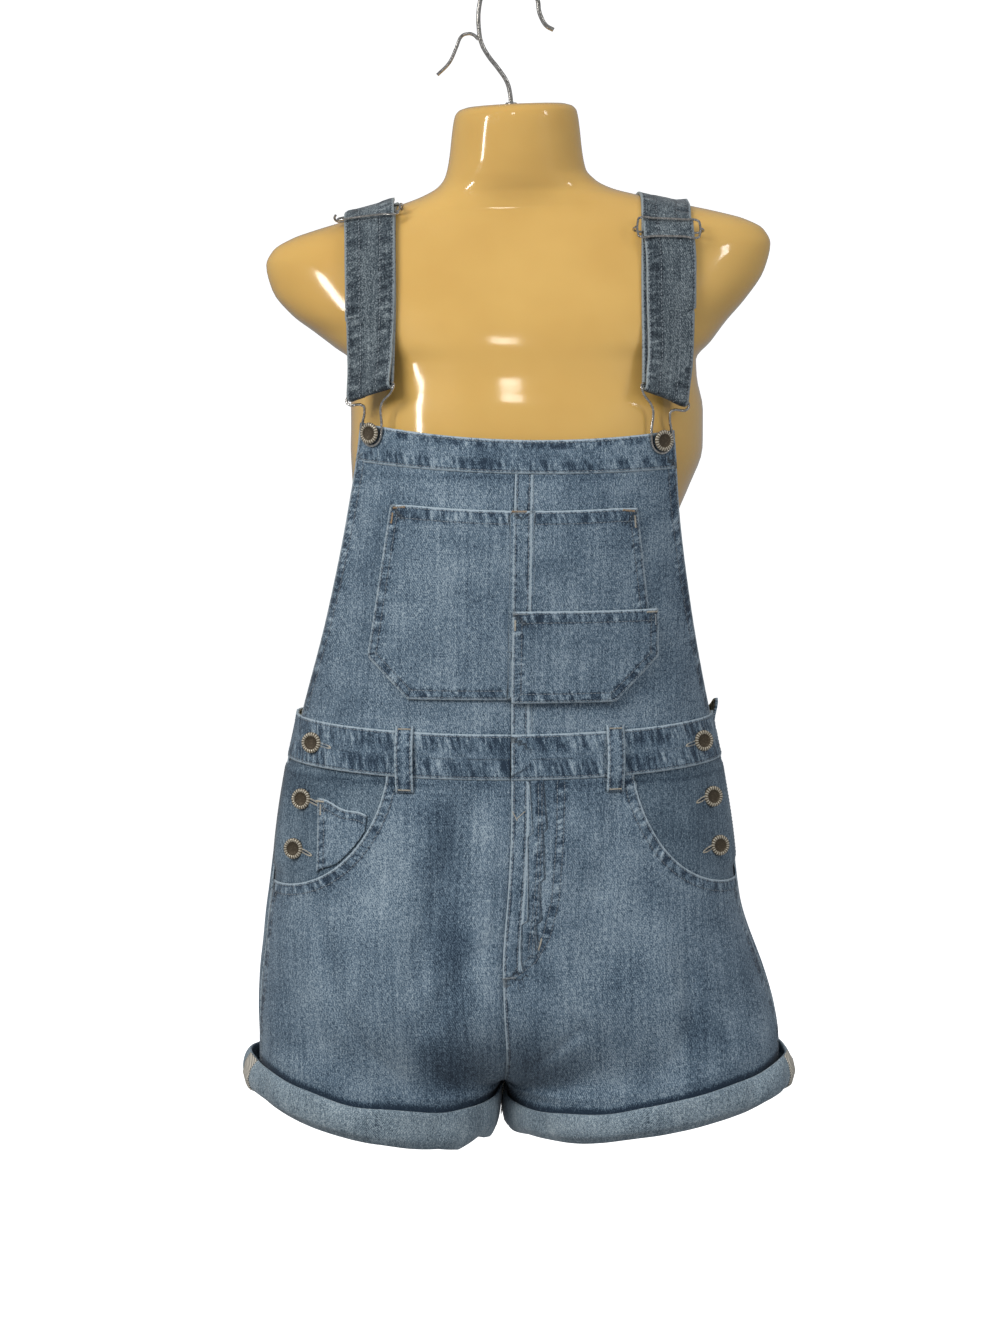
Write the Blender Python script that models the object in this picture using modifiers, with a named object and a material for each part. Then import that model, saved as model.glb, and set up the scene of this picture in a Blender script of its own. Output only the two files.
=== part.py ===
"""Denim overall shorts, filled out by a limbless torso form that hangs by a wire hook.

Every height is measured from the hem line of the shorts, in metres. +Z is up, the front faces -Y
and the photo's right is +X. An empty carries all pieces and puts the inside top of the hook's bow
at the origin. Garment points are worked out straight and symmetric first, then stand() gives them
the slight shift, twist and lean with which the real garment hangs.
"""
import math

import bmesh
import bpy
from mathutils import Vector

# Cloth
DENIM = 0.0012
DOUBLED = 0.0024
WEBBING = 0.0022
SEAM_GAP = 0.0002
LAYER_GAP = 0.0008
RIDGE = 0.0008
RIDGE_WIDTH = 0.0135
LAYER_STEP = 0.0014

# Hook
HOOK_WIRE = 0.00185
HOOK_X = -0.011
HOOK_TOP = 0.939

# Cross sections of the trunk of the garment, outer face
SQUARENESS = 2.3
TRUNK = (
    # height, half width, front, back
    (0.040, 0.2150, 0.128, 0.128),
    (0.075, 0.2145, 0.130, 0.131),
    (0.125, 0.2085, 0.129, 0.133),
    (0.192, 0.1950, 0.125, 0.130),
    (0.250, 0.1875, 0.120, 0.119),
    (0.305, 0.1785, 0.114, 0.103),
    (0.342, 0.1710, 0.112, 0.094),
    (0.380, 0.1650, 0.113, 0.086),
    (0.425, 0.1600, 0.116, 0.084),
    (0.508, 0.1550, 0.121, 0.092),
    (0.575, 0.1550, 0.119, 0.098),
    (0.640, 0.1550, 0.110, 0.096),
)

# How the garment hangs: sideways shift, turn in degrees, lean, and the shift of its middle alone
STANCE = (
    (0.000, 0.0010, 2.0, 0.000, -0.0130),
    (0.075, 0.0010, 2.5, 0.000, -0.0155),
    (0.102, -0.0010, 3.0, 0.000, -0.0165),
    (0.150, -0.0060, 3.0, 0.000, -0.0135),
    (0.192, -0.0105, 3.0, 0.000, -0.0065),
    (0.250, -0.0110, 3.0, 0.000, -0.0020),
    (0.305, -0.0110, 2.5, 0.000, 0.0000),
    (0.342, -0.0110, 2.5, 0.000, 0.0000),
    (0.425, -0.0087, 1.8, 0.000, 0.0000),
    (0.508, -0.0040, 0.0, -0.012, 0.0000),
    (0.575, 0.0013, -1.9, -0.024, 0.0000),
    (0.620, 0.0010, -1.0, 0.000, 0.0000),
    (0.700, 0.0000, 0.0, 0.043, 0.0000),
    (0.850, 0.0000, 0.0, 0.045, 0.0000),
)
MIDDLE_REACH = 0.215

# The largest soft folds, along a line from its top to its bottom. A ridge is +, a trough is -.
FOLDS = (
    # face, x top, z top, x bottom, z bottom, half width, height of the fold
    (-1, -0.052, 0.245, -0.083, 0.050, 0.013, -0.0030),
    (-1, -0.105, 0.200, -0.150, 0.060, 0.022, 0.0030),
    (-1, 0.060, 0.230, 0.095, 0.060, 0.020, -0.0024),
    (-1, 0.120, 0.190, 0.155, 0.070, 0.020, 0.0026),
    (-1, -0.012, 0.175, -0.060, 0.110, 0.010, -0.0022),
    (-1, 0.012, 0.170, 0.055, 0.105, 0.010, -0.0022),
    (1, -0.050, 0.210, -0.095, 0.060, 0.018, -0.0035),
    (1, 0.050, 0.210, 0.095, 0.060, 0.018, -0.0035),
    (1, -0.110, 0.200, -0.150, 0.080, 0.022, 0.0030),
    (1, 0.110, 0.200, 0.150, 0.080, 0.022, 0.0030),
)

# Legs
LEG_MIDDLE = 0.1085
LEG_OUTER = 0.2150
LEG_FRONT = 0.1070
LEG_BACK = 0.1040
HEM_LIFT = 0.035
CROTCH_RISE = 0.040
INSEAM_OPEN = 0.0034
INSEAM_FLARE = 0.0030
RISE_TOP = {-1: 0.125, 1: 0.165}
LEG_LEVELS = (0.0036, 0.013, 0.024, 0.033, CROTCH_RISE)
PANEL_COLUMNS = 14

# Cuffs: how far they stand off the leg, and their heights at the inseam, the front and the outer side
CUFF_WALL = 0.0026
CUFF_SEAT = 0.0031
CUFF_TOP_OUT = 0.0068
CUFF_BELLY_FRONT = 0.0085
CUFF_BELLY_OUTER = 0.0140
CUFF_HEIGHTS = (0.0325, 0.0385, 0.0400)

# Rows of the shorts panels
RISE_ROWS = 6
UPPER_ROWS = 9
SIDE_ANGLE = 79.0
WAIST_SIDE_ANGLE = 86.5

# Waistband, pockets and bib
WAIST_BOTTOM = 0.302
WAIST_HEIGHT = 0.0365
WAIST_CURVE = 0.0075
SCOOP_WIDTH = 0.080
SCOOP_DEPTH = 0.0915
SCOOP_COLUMN = 6
BIB_BAND_BOTTOM = 0.545
BIB_TOP = 0.572
BIB_BAND_HALF = 0.124
BIB = ((0.338, 0.1670), (0.425, 0.1467), (0.508, 0.1320), (0.590, 0.1225))
BIB_BACK = ((0.345, 0.1600), (0.370, 0.1440), (0.410, 0.1220), (0.470, 0.0980), (0.540, 0.0820),
            (0.605, 0.0740))
BIB_BACK_TOP = 0.602
POCKET = ((0.366, 0.0815), (0.399, 0.1130), (0.520, 0.0965))
PEN_POCKET_TOP = 0.437

# Straps: path of the middle line on the body side, from its end on the back bib to the front
STRAP_WIDTH = 0.040
STRAP = (
    # run, x, y, z, turn of the width in degrees
    (0.0000, 0.0500, 0.0990, 0.572, -20.0),
    (0.0283, 0.0540, 0.0985, 0.600, -20.0),
    (0.0754, 0.0670, 0.0920, 0.645, -18.0),
    (0.1306, 0.0870, 0.0760, 0.695, -12.0),
    (0.1793, 0.1040, 0.0550, 0.735, -5.0),
    (0.2166, 0.1135, 0.0300, 0.753, 0.0),
    (0.2440, 0.1170, 0.0030, 0.755, 0.0),
    (0.2762, 0.1185, -0.0260, 0.745, 0.0),
    (0.3096, 0.1180, -0.0460, 0.722, 5.0),
    (0.3460, 0.1170, -0.0600, 0.690, 12.0),
    (0.3936, 0.1160, -0.0775, 0.645, 24.0),
    (0.4411, 0.1145, -0.0935, 0.600, 33.0),
    (0.4621, 0.1140, -0.0990, 0.580, 34.0),
)
STRAP_FOLD = 0.4330
STRAP_SLANT = 0.32
SLIDER_AT = {-1: 0.2700, 1: 0.3060}
BODY_GAP = 0.0009
BAR_DEPTH = WEBBING + 0.0017

# Hardware
BUTTON_RADIUS = 0.0085
BUTTON_SIDES = 12
BIB_BUTTON = (0.1140, 0.5730)
SIDE_BUTTONS = ((0.1565, 0.326), (0.1670, 0.280), (0.1730, 0.240))
BUCKLE_WIRE = 0.0011
SLIDER_WIRE = 0.0010

# Cross sections of the torso form
FORM = (
    # height, half width, front, back, middle, squareness
    (0.1150, 0.1400, 0.0860, 0.0920, 0.000, 2.4),
    (0.1165, 0.1490, 0.0940, 0.1000, 0.000, 2.4),
    (0.1300, 0.1520, 0.0960, 0.1030, 0.000, 2.4),
    (0.1800, 0.1630, 0.1010, 0.1100, 0.000, 2.4),
    (0.2400, 0.1620, 0.1010, 0.1020, 0.000, 2.4),
    (0.2900, 0.1530, 0.0980, 0.0900, 0.000, 2.4),
    (0.3400, 0.1410, 0.0930, 0.0740, 0.000, 2.4),
    (0.3800, 0.1270, 0.0900, 0.0660, 0.000, 2.4),
    (0.4200, 0.1180, 0.0890, 0.0620, 0.000, 2.4),
    (0.4600, 0.1200, 0.0940, 0.0640, 0.000, 2.4),
    (0.5000, 0.1290, 0.1040, 0.0710, 0.002, 2.4),
    (0.5350, 0.1380, 0.1120, 0.0780, 0.004, 2.4),
    (0.5650, 0.1435, 0.1140, 0.0830, 0.006, 2.4),
    (0.5950, 0.1435, 0.1090, 0.0870, 0.006, 2.4),
    (0.6200, 0.1395, 0.1010, 0.0890, 0.005, 2.4),
    (0.6320, 0.1400, 0.0980, 0.0900, 0.004, 2.4),
    (0.6450, 0.1530, 0.0950, 0.0890, 0.003, 2.4),
    (0.6600, 0.1680, 0.0900, 0.0880, 0.001, 2.3),
    (0.6750, 0.1840, 0.0830, 0.0860, 0.000, 2.3),
    (0.6970, 0.2000, 0.0720, 0.0800, 0.000, 2.2),
    (0.7180, 0.2050, 0.0610, 0.0730, 0.000, 2.2),
    (0.7300, 0.1990, 0.0540, 0.0680, 0.000, 2.2),
    (0.7390, 0.1830, 0.0490, 0.0640, 0.000, 2.2),
    (0.7440, 0.1670, 0.0460, 0.0610, 0.000, 2.2),
    (0.7500, 0.1440, 0.0430, 0.0580, 0.000, 2.2),
    (0.7560, 0.1180, 0.0410, 0.0550, 0.000, 2.2),
    (0.7620, 0.0960, 0.0405, 0.0530, 0.000, 2.1),
    (0.7680, 0.0770, 0.0410, 0.0515, -0.001, 2.0),
    (0.7750, 0.0640, 0.0430, 0.0500, -0.001, 2.0),
    (0.7840, 0.0570, 0.0450, 0.0490, -0.002, 2.0),
    (0.7980, 0.0540, 0.0460, 0.0480, -0.002, 2.0),
    (0.8200, 0.0515, 0.0455, 0.0465, -0.002, 2.0),
    (0.8310, 0.0495, 0.0440, 0.0450, -0.002, 2.0),
    (0.8355, 0.0460, 0.0405, 0.0415, -0.002, 2.0),
    (0.8375, 0.0400, 0.0345, 0.0355, -0.002, 2.0),
)
FORM_AROUND = 36
FORM_HEART = 0.680

PAINTS = {
    # red, green, blue, roughness, metallic
    "denim": (0.150, 0.225, 0.340, 0.90, 0.0),
    "denim_dark": (0.085, 0.145, 0.250, 0.90, 0.0),
    "denim_pale": (0.260, 0.340, 0.440, 0.92, 0.0),
    "button_metal": (0.300, 0.250, 0.180, 0.38, 1.0),
    "wire": (0.620, 0.600, 0.570, 0.25, 1.0),
    "form_plastic": (0.800, 0.610, 0.270, 0.16, 0.0),
}

for old in list(bpy.data.objects):
    bpy.data.objects.remove(old, do_unlink=True)

collection = bpy.data.collections.new("denim_overall_shorts")
bpy.context.scene.collection.children.link(collection)
hem_line = bpy.data.objects.new("hem_line", None)
collection.objects.link(hem_line)
hem_line.location = (-HOOK_X, 0.0, -HOOK_TOP)

paints = {}
for paint_name, (red, green, blue, rough, metal) in PAINTS.items():
    paint = bpy.data.materials.new(paint_name)
    paint.use_nodes = True
    shader = paint.node_tree.nodes["Principled BSDF"]
    shader.inputs["Base Color"].default_value = (red, green, blue, 1.0)
    shader.inputs["Roughness"].default_value = rough
    shader.inputs["Metallic"].default_value = metal
    paints[paint_name] = paint


def lerp(first, second, share):
    return first + (second - first) * share


def ease(value):
    value = min(max(value, 0.0), 1.0)
    return value * value * (3.0 - 2.0 * value)


def slope(rows, index, column):
    """Steepness of a table's column at one row, level where the column turns back"""
    if index in (0, len(rows) - 1):
        first = 0 if index == 0 else index - 1
        return (rows[first + 1][column] - rows[first][column]) / (rows[first + 1][0] - rows[first][0])
    before = (rows[index][column] - rows[index - 1][column]) / (rows[index][0] - rows[index - 1][0])
    after = (rows[index + 1][column] - rows[index][column]) / (rows[index + 1][0] - rows[index][0])
    if before * after <= 0.0:
        return 0.0
    return 2.0 * before * after / (before + after)


def read(rows, at):
    """All columns of a table at a value of its first column, on smooth curves"""
    at = min(max(at, rows[0][0]), rows[-1][0])
    index = 0
    while index < len(rows) - 2 and at > rows[index + 1][0]:
        index += 1
    low, high = rows[index], rows[index + 1]
    step = high[0] - low[0]
    t = (at - low[0]) / step
    values = []
    for column in range(1, len(low)):
        rise_low = slope(rows, index, column) * step
        rise_high = slope(rows, index + 1, column) * step
        values.append((2 * t ** 3 - 3 * t ** 2 + 1) * low[column] + (t ** 3 - 2 * t ** 2 + t) * rise_low
                      + (3 * t ** 2 - 2 * t ** 3) * high[column] + (t ** 3 - t ** 2) * rise_high)
    return values


def stand(point):
    """The straight pattern's point as the garment really hangs"""
    shift, turn, lean, middle = read(STANCE, point.z)
    turn = math.radians(turn)
    x = point.x * math.cos(turn) - point.y * math.sin(turn)
    y = point.x * math.sin(turn) + point.y * math.cos(turn)
    x += shift + middle * (1.0 - min(1.0, (x / MIDDLE_REACH) ** 2))
    return Vector((x, y, point.z + lean * x))


def fold_height(x, face, height):
    total = 0.0
    for side, x_top, z_top, x_low, z_low, half_width, size in FOLDS:
        along = (z_top - height) / (z_top - z_low)
        if side != face or not -0.2 < along < 1.3:
            continue
        distance = (x - lerp(x_top, x_low, along)) / half_width
        fade = ease((along + 0.2) / 0.4) * ease((1.3 - along) / 0.3)
        total += size * fade * math.exp(-distance * distance)
    return total


def superellipse(angle, width, depth, squareness):
    """Point and outward direction on one quarter of a rounded section"""
    sine, cosine = math.sin(angle), abs(math.cos(angle))
    x = width * sine ** (2.0 / squareness)
    y = depth * cosine ** (2.0 / squareness)
    outward = Vector(((x / width) ** (squareness - 1.0) / width,
                      (y / depth) ** (squareness - 1.0) / depth)).normalized()
    return x, y, outward


def around(side, angle, height, out=0.0):
    """Point of the trunk: angle 0 is the middle front, 90 the side, 180 the middle back"""
    width, front, back = read(TRUNK, height)
    face = -1 if angle < 90.0 else 1
    x, y, outward = superellipse(math.radians(angle), width, front if face < 0 else back, SQUARENESS)
    out += fold_height(side * x, face, height)
    return Vector((side * (x + outward.x * out), face * (y + outward.y * out), height))


def angle_at(x, height, face=-1):
    """Angle at which the trunk's section reaches a distance x from the middle"""
    share = min(abs(x) / read(TRUNK, height)[0], 1.0)
    angle = math.degrees(math.asin(share ** (SQUARENESS / 2.0)))
    return angle if face < 0 else 180.0 - angle


def on_front(x, height, out=0.0):
    return around(-1 if x < 0 else 1, angle_at(x, height), height, out)


def on_back(x, height, out=0.0):
    return around(-1 if x < 0 else 1, angle_at(x, height, 1), height, out)


def hem_height(angle):
    """The hem rises toward the outer side of each leg. Angle 0 is the inseam, 180 the outer side"""
    return HEM_LIFT * ease((angle - 55.0) / 115.0)


def leg(side, face, angle, rise, out=0.0):
    """Point of a leg ring: angle 0 is the inseam, 90 the front or back, 180 the outer side"""
    inner = SEAM_GAP + INSEAM_OPEN * ease((CROTCH_RISE - rise) / 0.007)
    inner += INSEAM_FLARE * ease((0.030 - rise) / 0.030)
    width = LEG_MIDDLE - inner if angle < 90.0 else LEG_OUTER - LEG_MIDDLE
    depth = LEG_FRONT if face < 0 else LEG_BACK
    tilt = math.radians(abs(angle - 90.0))
    x, y, outward = superellipse(tilt, width, depth, SQUARENESS)
    toward = -1 if angle < 90.0 else 1
    x = LEG_MIDDLE + toward * (x + outward.x * out)
    return Vector((side * x, face * (y + outward.y * out), hem_height(angle) + rise))


def waist_line(x, level=0.0):
    """Height of the waistband's lower edge, or of a line at a level above it"""
    return WAIST_BOTTOM + level + WAIST_CURVE * (x / 0.18) ** 2


def side_angle(height):
    return lerp(SIDE_ANGLE, WAIST_SIDE_ANGLE, ease((height - 0.215) / 0.085))


def scoop(turn, grow=0.0):
    """Angle and height on a pocket mouth's edge: turn 0 is at the waistband, 90 at the side"""
    turn = math.radians(turn)
    height = WAIST_BOTTOM - (SCOOP_DEPTH + grow) * math.sin(turn)
    x_side = abs(around(1, side_angle(height), height).x)
    return angle_at(x_side - (SCOOP_WIDTH + grow) * math.cos(turn), height), height


def ridge(x, layer=0):
    """Extra height of the felled centre seam, on the photo's right of the middle"""
    if x < 0.0:
        return 0.0
    return RIDGE * (1.0 - ease((x - RIDGE_WIDTH - LAYER_STEP * layer) / RIDGE))


def add_object(name, mesh, paint_name):
    piece = bpy.data.objects.new(name, mesh)
    collection.objects.link(piece)
    piece.parent = hem_line
    piece.data.materials.append(paints[paint_name])
    return piece


def cloth(name, columns, rows, place, wall, paint_name, heart=(0.0, 0.0), reverse=None):
    """A cloth piece: a grid laid on its outer face by place(column, row), thickened inward.

    Outward is away from the heart's upright line, unless reverse says which way the grid faces.
    """
    grid = bmesh.new()
    bmesh.ops.create_grid(grid, x_segments=columns, y_segments=rows, size=1.0)
    for vertex in grid.verts:
        column = round((vertex.co.x + 1.0) / 2.0 * columns)
        row = round((vertex.co.y + 1.0) / 2.0 * rows)
        vertex.co = stand(place(column, row))
    if reverse is None:
        grid.normal_update()
        outward = sum((face.normal.x * (face.calc_center_median().x - heart[0])
                       + face.normal.y * (face.calc_center_median().y - heart[1])) for face in grid.faces)
        reverse = outward < 0.0
    if reverse:
        bmesh.ops.reverse_faces(grid, faces=grid.faces)
    mesh = bpy.data.meshes.new(name)
    grid.to_mesh(mesh)
    grid.free()
    mesh.shade_smooth()
    piece = add_object(name, mesh, paint_name)
    solidify = piece.modifiers.new("wall", "SOLIDIFY")
    solidify.thickness = wall
    solidify.offset = -1.0
    return piece


def wire(name, points, radius, paint_name, closed=False):
    curve = bpy.data.curves.new(name, "CURVE")
    curve.dimensions = "3D"
    curve.bevel_depth = radius
    curve.bevel_resolution = 2
    curve.use_fill_caps = True
    spline = curve.splines.new("POLY")
    spline.points.add(len(points) - 1)
    for target, point in zip(spline.points, points):
        target.co = (*point, 1.0)
    spline.use_cyclic_u = closed
    return add_object(name, curve, paint_name)


def leg_spot(face, share):
    """Face and angle on a leg ring for a share of the way from the inseam to the side seam"""
    seam = 180.0 + (90.0 - SIDE_ANGLE) * 0.9 * face
    angle = seam * share
    return (face, angle) if angle <= 180.0 else (-face, 360.0 - angle)


def shorts_panel(name, side, face):
    columns = PANEL_COLUMNS
    leg_rows = len(LEG_LEVELS) - 1
    rows = leg_rows + RISE_ROWS + UPPER_ROWS

    def top_edge(column):
        if face > 0:
            angle = lerp(180.0, WAIST_SIDE_ANGLE, column / columns)
            return angle, waist_line(around(1, angle, WAIST_BOTTOM).x) - SEAM_GAP
        if column <= SCOOP_COLUMN:
            x = lerp(0.0, around(1, side_angle(WAIST_BOTTOM), WAIST_BOTTOM).x - SCOOP_WIDTH,
                     column / SCOOP_COLUMN)
            return angle_at(x, WAIST_BOTTOM), waist_line(x) - SEAM_GAP
        return scoop(90.0 * (column - SCOOP_COLUMN) / (columns - SCOOP_COLUMN))

    def place(column, row):
        share = column / columns
        leg_face, leg_angle = leg_spot(face, share)
        trunk_angle = lerp(0.0 if face < 0 else 180.0, SIDE_ANGLE, share)
        low = hem_height(leg_angle) + CROTCH_RISE
        high = RISE_TOP[face] + 0.5 * hem_height(leg_angle) * (1 if face < 0 else 0)
        if row <= leg_rows:
            point = leg(side, leg_face, leg_angle, LEG_LEVELS[row])
        elif row <= leg_rows + RISE_ROWS:
            swing = 90.0 * (1.0 - (row - leg_rows) / RISE_ROWS)
            blend = 1.0 - math.cos(math.radians(swing))
            drop = lerp(math.sin(math.radians(swing)), swing / 90.0, ease(share * 1.6))
            height = lerp(high, low, drop)
            crotch_ring = leg(side, leg_face, leg_angle, CROTCH_RISE)
            point = lerp(around(side, trunk_angle, height), crotch_ring, blend)
            point.z = height
        else:
            angle, top = top_edge(column)
            climb = (row - leg_rows - RISE_ROWS) / UPPER_ROWS
            height = lerp(high, top, climb)
            point = around(side, lerp(trunk_angle, angle, climb), height)
        point.x += side * SEAM_GAP
        point.y += face * SEAM_GAP
        return point

    return cloth(name, columns, rows, place, DENIM, "denim", (side * LEG_MIDDLE, 0.0))


def cuff(name, side):
    """A hem turned up twice: it wraps under the leg's edge and stands off it at the top"""
    around_count = 2 * PANEL_COLUMNS
    profile_count = 12

    def place(column, row):
        share = column / PANEL_COLUMNS
        face, angle = leg_spot(-1, share) if share <= 1.0 else leg_spot(1, 2.0 - share)
        outer = ease((angle - 80.0) / 90.0)
        open_up = ease(angle / 50.0)
        top = lerp(CUFF_SEAT, CUFF_TOP_OUT, open_up)
        belly = lerp(CUFF_SEAT, lerp(CUFF_BELLY_FRONT, CUFF_BELLY_OUTER, outer), open_up)
        foot = lerp(CUFF_SEAT, belly, 0.8)
        height = lerp(CUFF_HEIGHTS[0], lerp(CUFF_HEIGHTS[1], CUFF_HEIGHTS[2], outer), open_up)
        profile = (
            (top, height), (lerp(top, belly, 0.7), 0.78 * height), (belly, 0.5 * height),
            (foot, 0.25 * height), (CUFF_SEAT, 0.0032), (0.0014, 0.0002),
            (-0.0020, 0.0002), (-0.0020, 0.0026), (0.0005, 0.0030),
            (foot - CUFF_WALL, 0.27 * height), (belly - CUFF_WALL, 0.5 * height),
            (top - CUFF_WALL, height),
        )
        out, rise = profile[row]
        return leg(side, face, angle, rise, out)

    ring = bmesh.new()
    loops = []
    for column in range(around_count):
        loops.append([ring.verts.new(stand(place(column, row))) for row in range(profile_count)])
    for column in range(around_count):
        following = loops[(column + 1) % around_count]
        for row in range(profile_count):
            after = (row + 1) % profile_count
            ring.faces.new((loops[column][row], loops[column][after], following[after], following[row]))
    bmesh.ops.recalc_face_normals(ring, faces=ring.faces)
    mesh = bpy.data.meshes.new(name)
    ring.to_mesh(mesh)
    ring.free()
    mesh.shade_smooth()
    return add_object(name, mesh, "denim_pale")


def pocket_facing(name, side):
    """The part of the hip pocket that its scooped mouth shows, one layer behind the front"""
    columns, rows = 8, 7

    def place(column, row):
        angle, low = scoop(lerp(14.0, 90.0, column / columns), 0.010)
        x_low = around(1, angle, low).x
        height = lerp(low, waist_line(x_low) - DOUBLED, row / rows)
        gap_at_low = around(1, side_angle(low), low).x - x_low
        x = around(1, side_angle(height), height).x - gap_at_low
        point = around(side, min(angle_at(x, height), side_angle(height)), height, -DENIM - LAYER_GAP)
        point.y -= SEAM_GAP
        return point

    return cloth(name, columns, rows, place, DENIM, "denim_dark")


def coin_pocket():
    columns, rows = 6, 5
    outer_x = 0.1540

    def place(column, row):
        share = column / columns
        low_angle, low = scoop(lerp(62.0, 28.0, share), -0.0022)
        top = lerp(0.2830, 0.2720, share)
        x = lerp(lerp(outer_x, around(1, low_angle, low).x, ease(share * 3.0)),
                 lerp(outer_x, 0.1145, share), row / rows)
        height = lerp(low, top, row / rows)
        return on_front(-x, height, -LAYER_GAP + DENIM * 0.5)

    return cloth("coin_pocket", columns, rows, place, DENIM * 0.8, "denim")


def waistband_front(name, side):
    columns, rows = 13, 2
    seam_stops = (0.0, RIDGE_WIDTH, RIDGE_WIDTH + RIDGE) if side > 0 else (0.0,)
    last_stop = len(seam_stops) - 1

    def place(column, row):
        if column <= last_stop:
            angle = angle_at(seam_stops[column], WAIST_BOTTOM)
        else:
            share = (column - last_stop) / (columns - last_stop)
            angle = lerp(angle_at(seam_stops[-1], WAIST_BOTTOM), side_angle(WAIST_BOTTOM), share)
        level = WAIST_HEIGHT * row / rows
        across = around(1, angle, WAIST_BOTTOM + level).x
        out = DOUBLED * 0.25 + (RIDGE if column < last_stop else 0.0)
        point = around(side, angle, waist_line(across, level), out)
        point.x += side * SEAM_GAP
        point.y -= SEAM_GAP
        return point

    return cloth(name, columns, rows, place, DOUBLED, "denim")


def waistband_back():
    columns, rows = 30, 2

    def place(column, row):
        share = 2.0 * column / columns - 1.0
        side = -1 if share < 0 else 1
        angle = lerp(180.0, WAIST_SIDE_ANGLE + 1.2, abs(share))
        corner = ease((abs(share) - 0.90) / 0.10)
        level = lerp(0.0, WAIST_HEIGHT + 0.010 * corner, row / rows)
        across = around(1, angle, WAIST_BOTTOM + level).x
        out = DOUBLED * 0.25 + (0.0060 * corner if side > 0 and row == rows else 0.0)
        point = around(side, angle, waist_line(across, level), out)
        point.y += SEAM_GAP
        return point

    return cloth("waistband_back", columns, rows, place, DOUBLED, "denim")


def bib_band_line(x):
    """Height at which the bib's halves end and its band starts"""
    return BIB_BAND_BOTTOM + 0.005 * (x / BIB_BAND_HALF) ** 2


def bib_half(name, side):
    columns, rows = 10, 9
    seam_stops = (0.0, RIDGE_WIDTH, RIDGE_WIDTH + RIDGE) if side > 0 else (0.0,)
    last_stop = len(seam_stops) - 1

    def place(column, row):
        share = row / rows
        level = lerp(WAIST_BOTTOM + WAIST_HEIGHT, BIB_BAND_BOTTOM, share)
        half = read(BIB, level)[0]
        if column <= last_stop:
            x = seam_stops[column]
        else:
            x = lerp(seam_stops[-1], half, (column - last_stop) / (columns - last_stop))
        low = waist_line(x, WAIST_HEIGHT) + 2.0 * SEAM_GAP
        point = on_front(side * x, lerp(low, bib_band_line(x), share), ridge(x) if side > 0 else 0.0)
        point.x = side * x + side * SEAM_GAP
        return point

    return cloth(name, columns, rows, place, DENIM, "denim")


def bib_columns(count):
    """Distances from the middle for a piece that crosses the felled seam, as shares of its half width"""
    left = [-1.0 + index / count for index in range(count)]
    right = [(index + 1) / (count - 1) for index in range(count - 1)]
    return left + ["middle", "ridge", "ridge end"] + right


def across_seam(columns, column, half, layer=0):
    """Distance from the middle. A layer on top steps down past the one under it"""
    spot = columns[column]
    ridge_end = RIDGE_WIDTH + LAYER_STEP * layer
    if spot == "middle":
        return 0.0
    if spot == "ridge":
        return ridge_end
    if spot == "ridge end":
        return ridge_end + RIDGE
    if spot < 0:
        return spot * half
    return lerp(ridge_end + RIDGE, half, spot)


def bib_band():
    spots = bib_columns(7)
    rows = 3

    def place(column, row):
        half = read(BIB, lerp(BIB_BAND_BOTTOM, BIB_TOP, row / rows))[0]
        x = across_seam(spots, column, half)
        top = BIB_TOP + 0.009 * (x / BIB_BAND_HALF) ** 2
        height = lerp(bib_band_line(x) + 2.0 * SEAM_GAP, top, row / rows)
        return on_front(x, height, DOUBLED * 0.25 + ridge(x))

    return cloth("bib_band", len(spots) - 1, rows, place, DOUBLED, "denim")


def pocket_half(height):
    """Half width of the bib pocket, straight from corner to corner"""
    low, corner, top = POCKET
    if height < corner[0]:
        return lerp(low[1], corner[1], (height - low[0]) / (corner[0] - low[0]))
    return lerp(corner[1], top[1], (height - corner[0]) / (top[0] - corner[0]))


def bib_pocket():
    spots = bib_columns(7)
    heights = (0.366, 0.377, 0.388, 0.399, 0.425, 0.455, 0.487, 0.519)

    def place(column, row):
        x = across_seam(spots, column, pocket_half(heights[row]), 1)
        sag = 0.0025 * (1.0 - min(1.0, (x / 0.08) ** 2)) if row == len(heights) - 1 else 0.0
        return on_front(x, heights[row] - sag, 1.5 * LAYER_GAP + DENIM + ridge(x, 1))

    return cloth("bib_pocket", len(spots) - 1, len(heights) - 1, place, DENIM, "denim")


def pen_pocket():
    heights = (0.3635, 0.376, 0.388, 0.399, 0.418, PEN_POCKET_TOP)
    spots = bib_columns(6)[6:]

    def place(column, row):
        height = heights[row]
        half = pocket_half(height) + lerp(0.0030, 0.0060, ease((height - 0.400) / 0.035))
        x = across_seam(spots, column, half, 2)
        return on_front(x, height, 3.0 * LAYER_GAP + 2.0 * DENIM + ridge(x, 2))

    return cloth("pen_pocket", len(spots) - 1, len(heights) - 1, place, DENIM, "denim")


def bib_back():
    columns, rows = 12, 9

    def place(column, row):
        share = 2.0 * column / columns - 1.0
        level = lerp(WAIST_BOTTOM + WAIST_HEIGHT + 0.007, BIB_BACK_TOP, row / rows)
        x = share * read(BIB_BACK, level)[0]
        low = waist_line(x, WAIST_HEIGHT) + 2.0 * SEAM_GAP
        return on_back(x, lerp(low, BIB_BACK_TOP, row / rows))

    return cloth("bib_back", columns, rows, place, DENIM, "denim")


def belt_loop(name, x, face):
    columns, rows = 2, 8
    width, length, wall = 0.0105, 0.0530, 0.0016

    def place(column, row):
        share = row / rows
        height = waist_line(x, -0.0120) + length * share
        stand_off = wall + 0.0004 + 0.0034 * math.sin(math.pi * share)
        across = x + width * (column / columns - 0.5)
        return (on_front if face < 0 else on_back)(across, height, stand_off)

    return cloth(name, columns, rows, place, wall, "denim")


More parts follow.
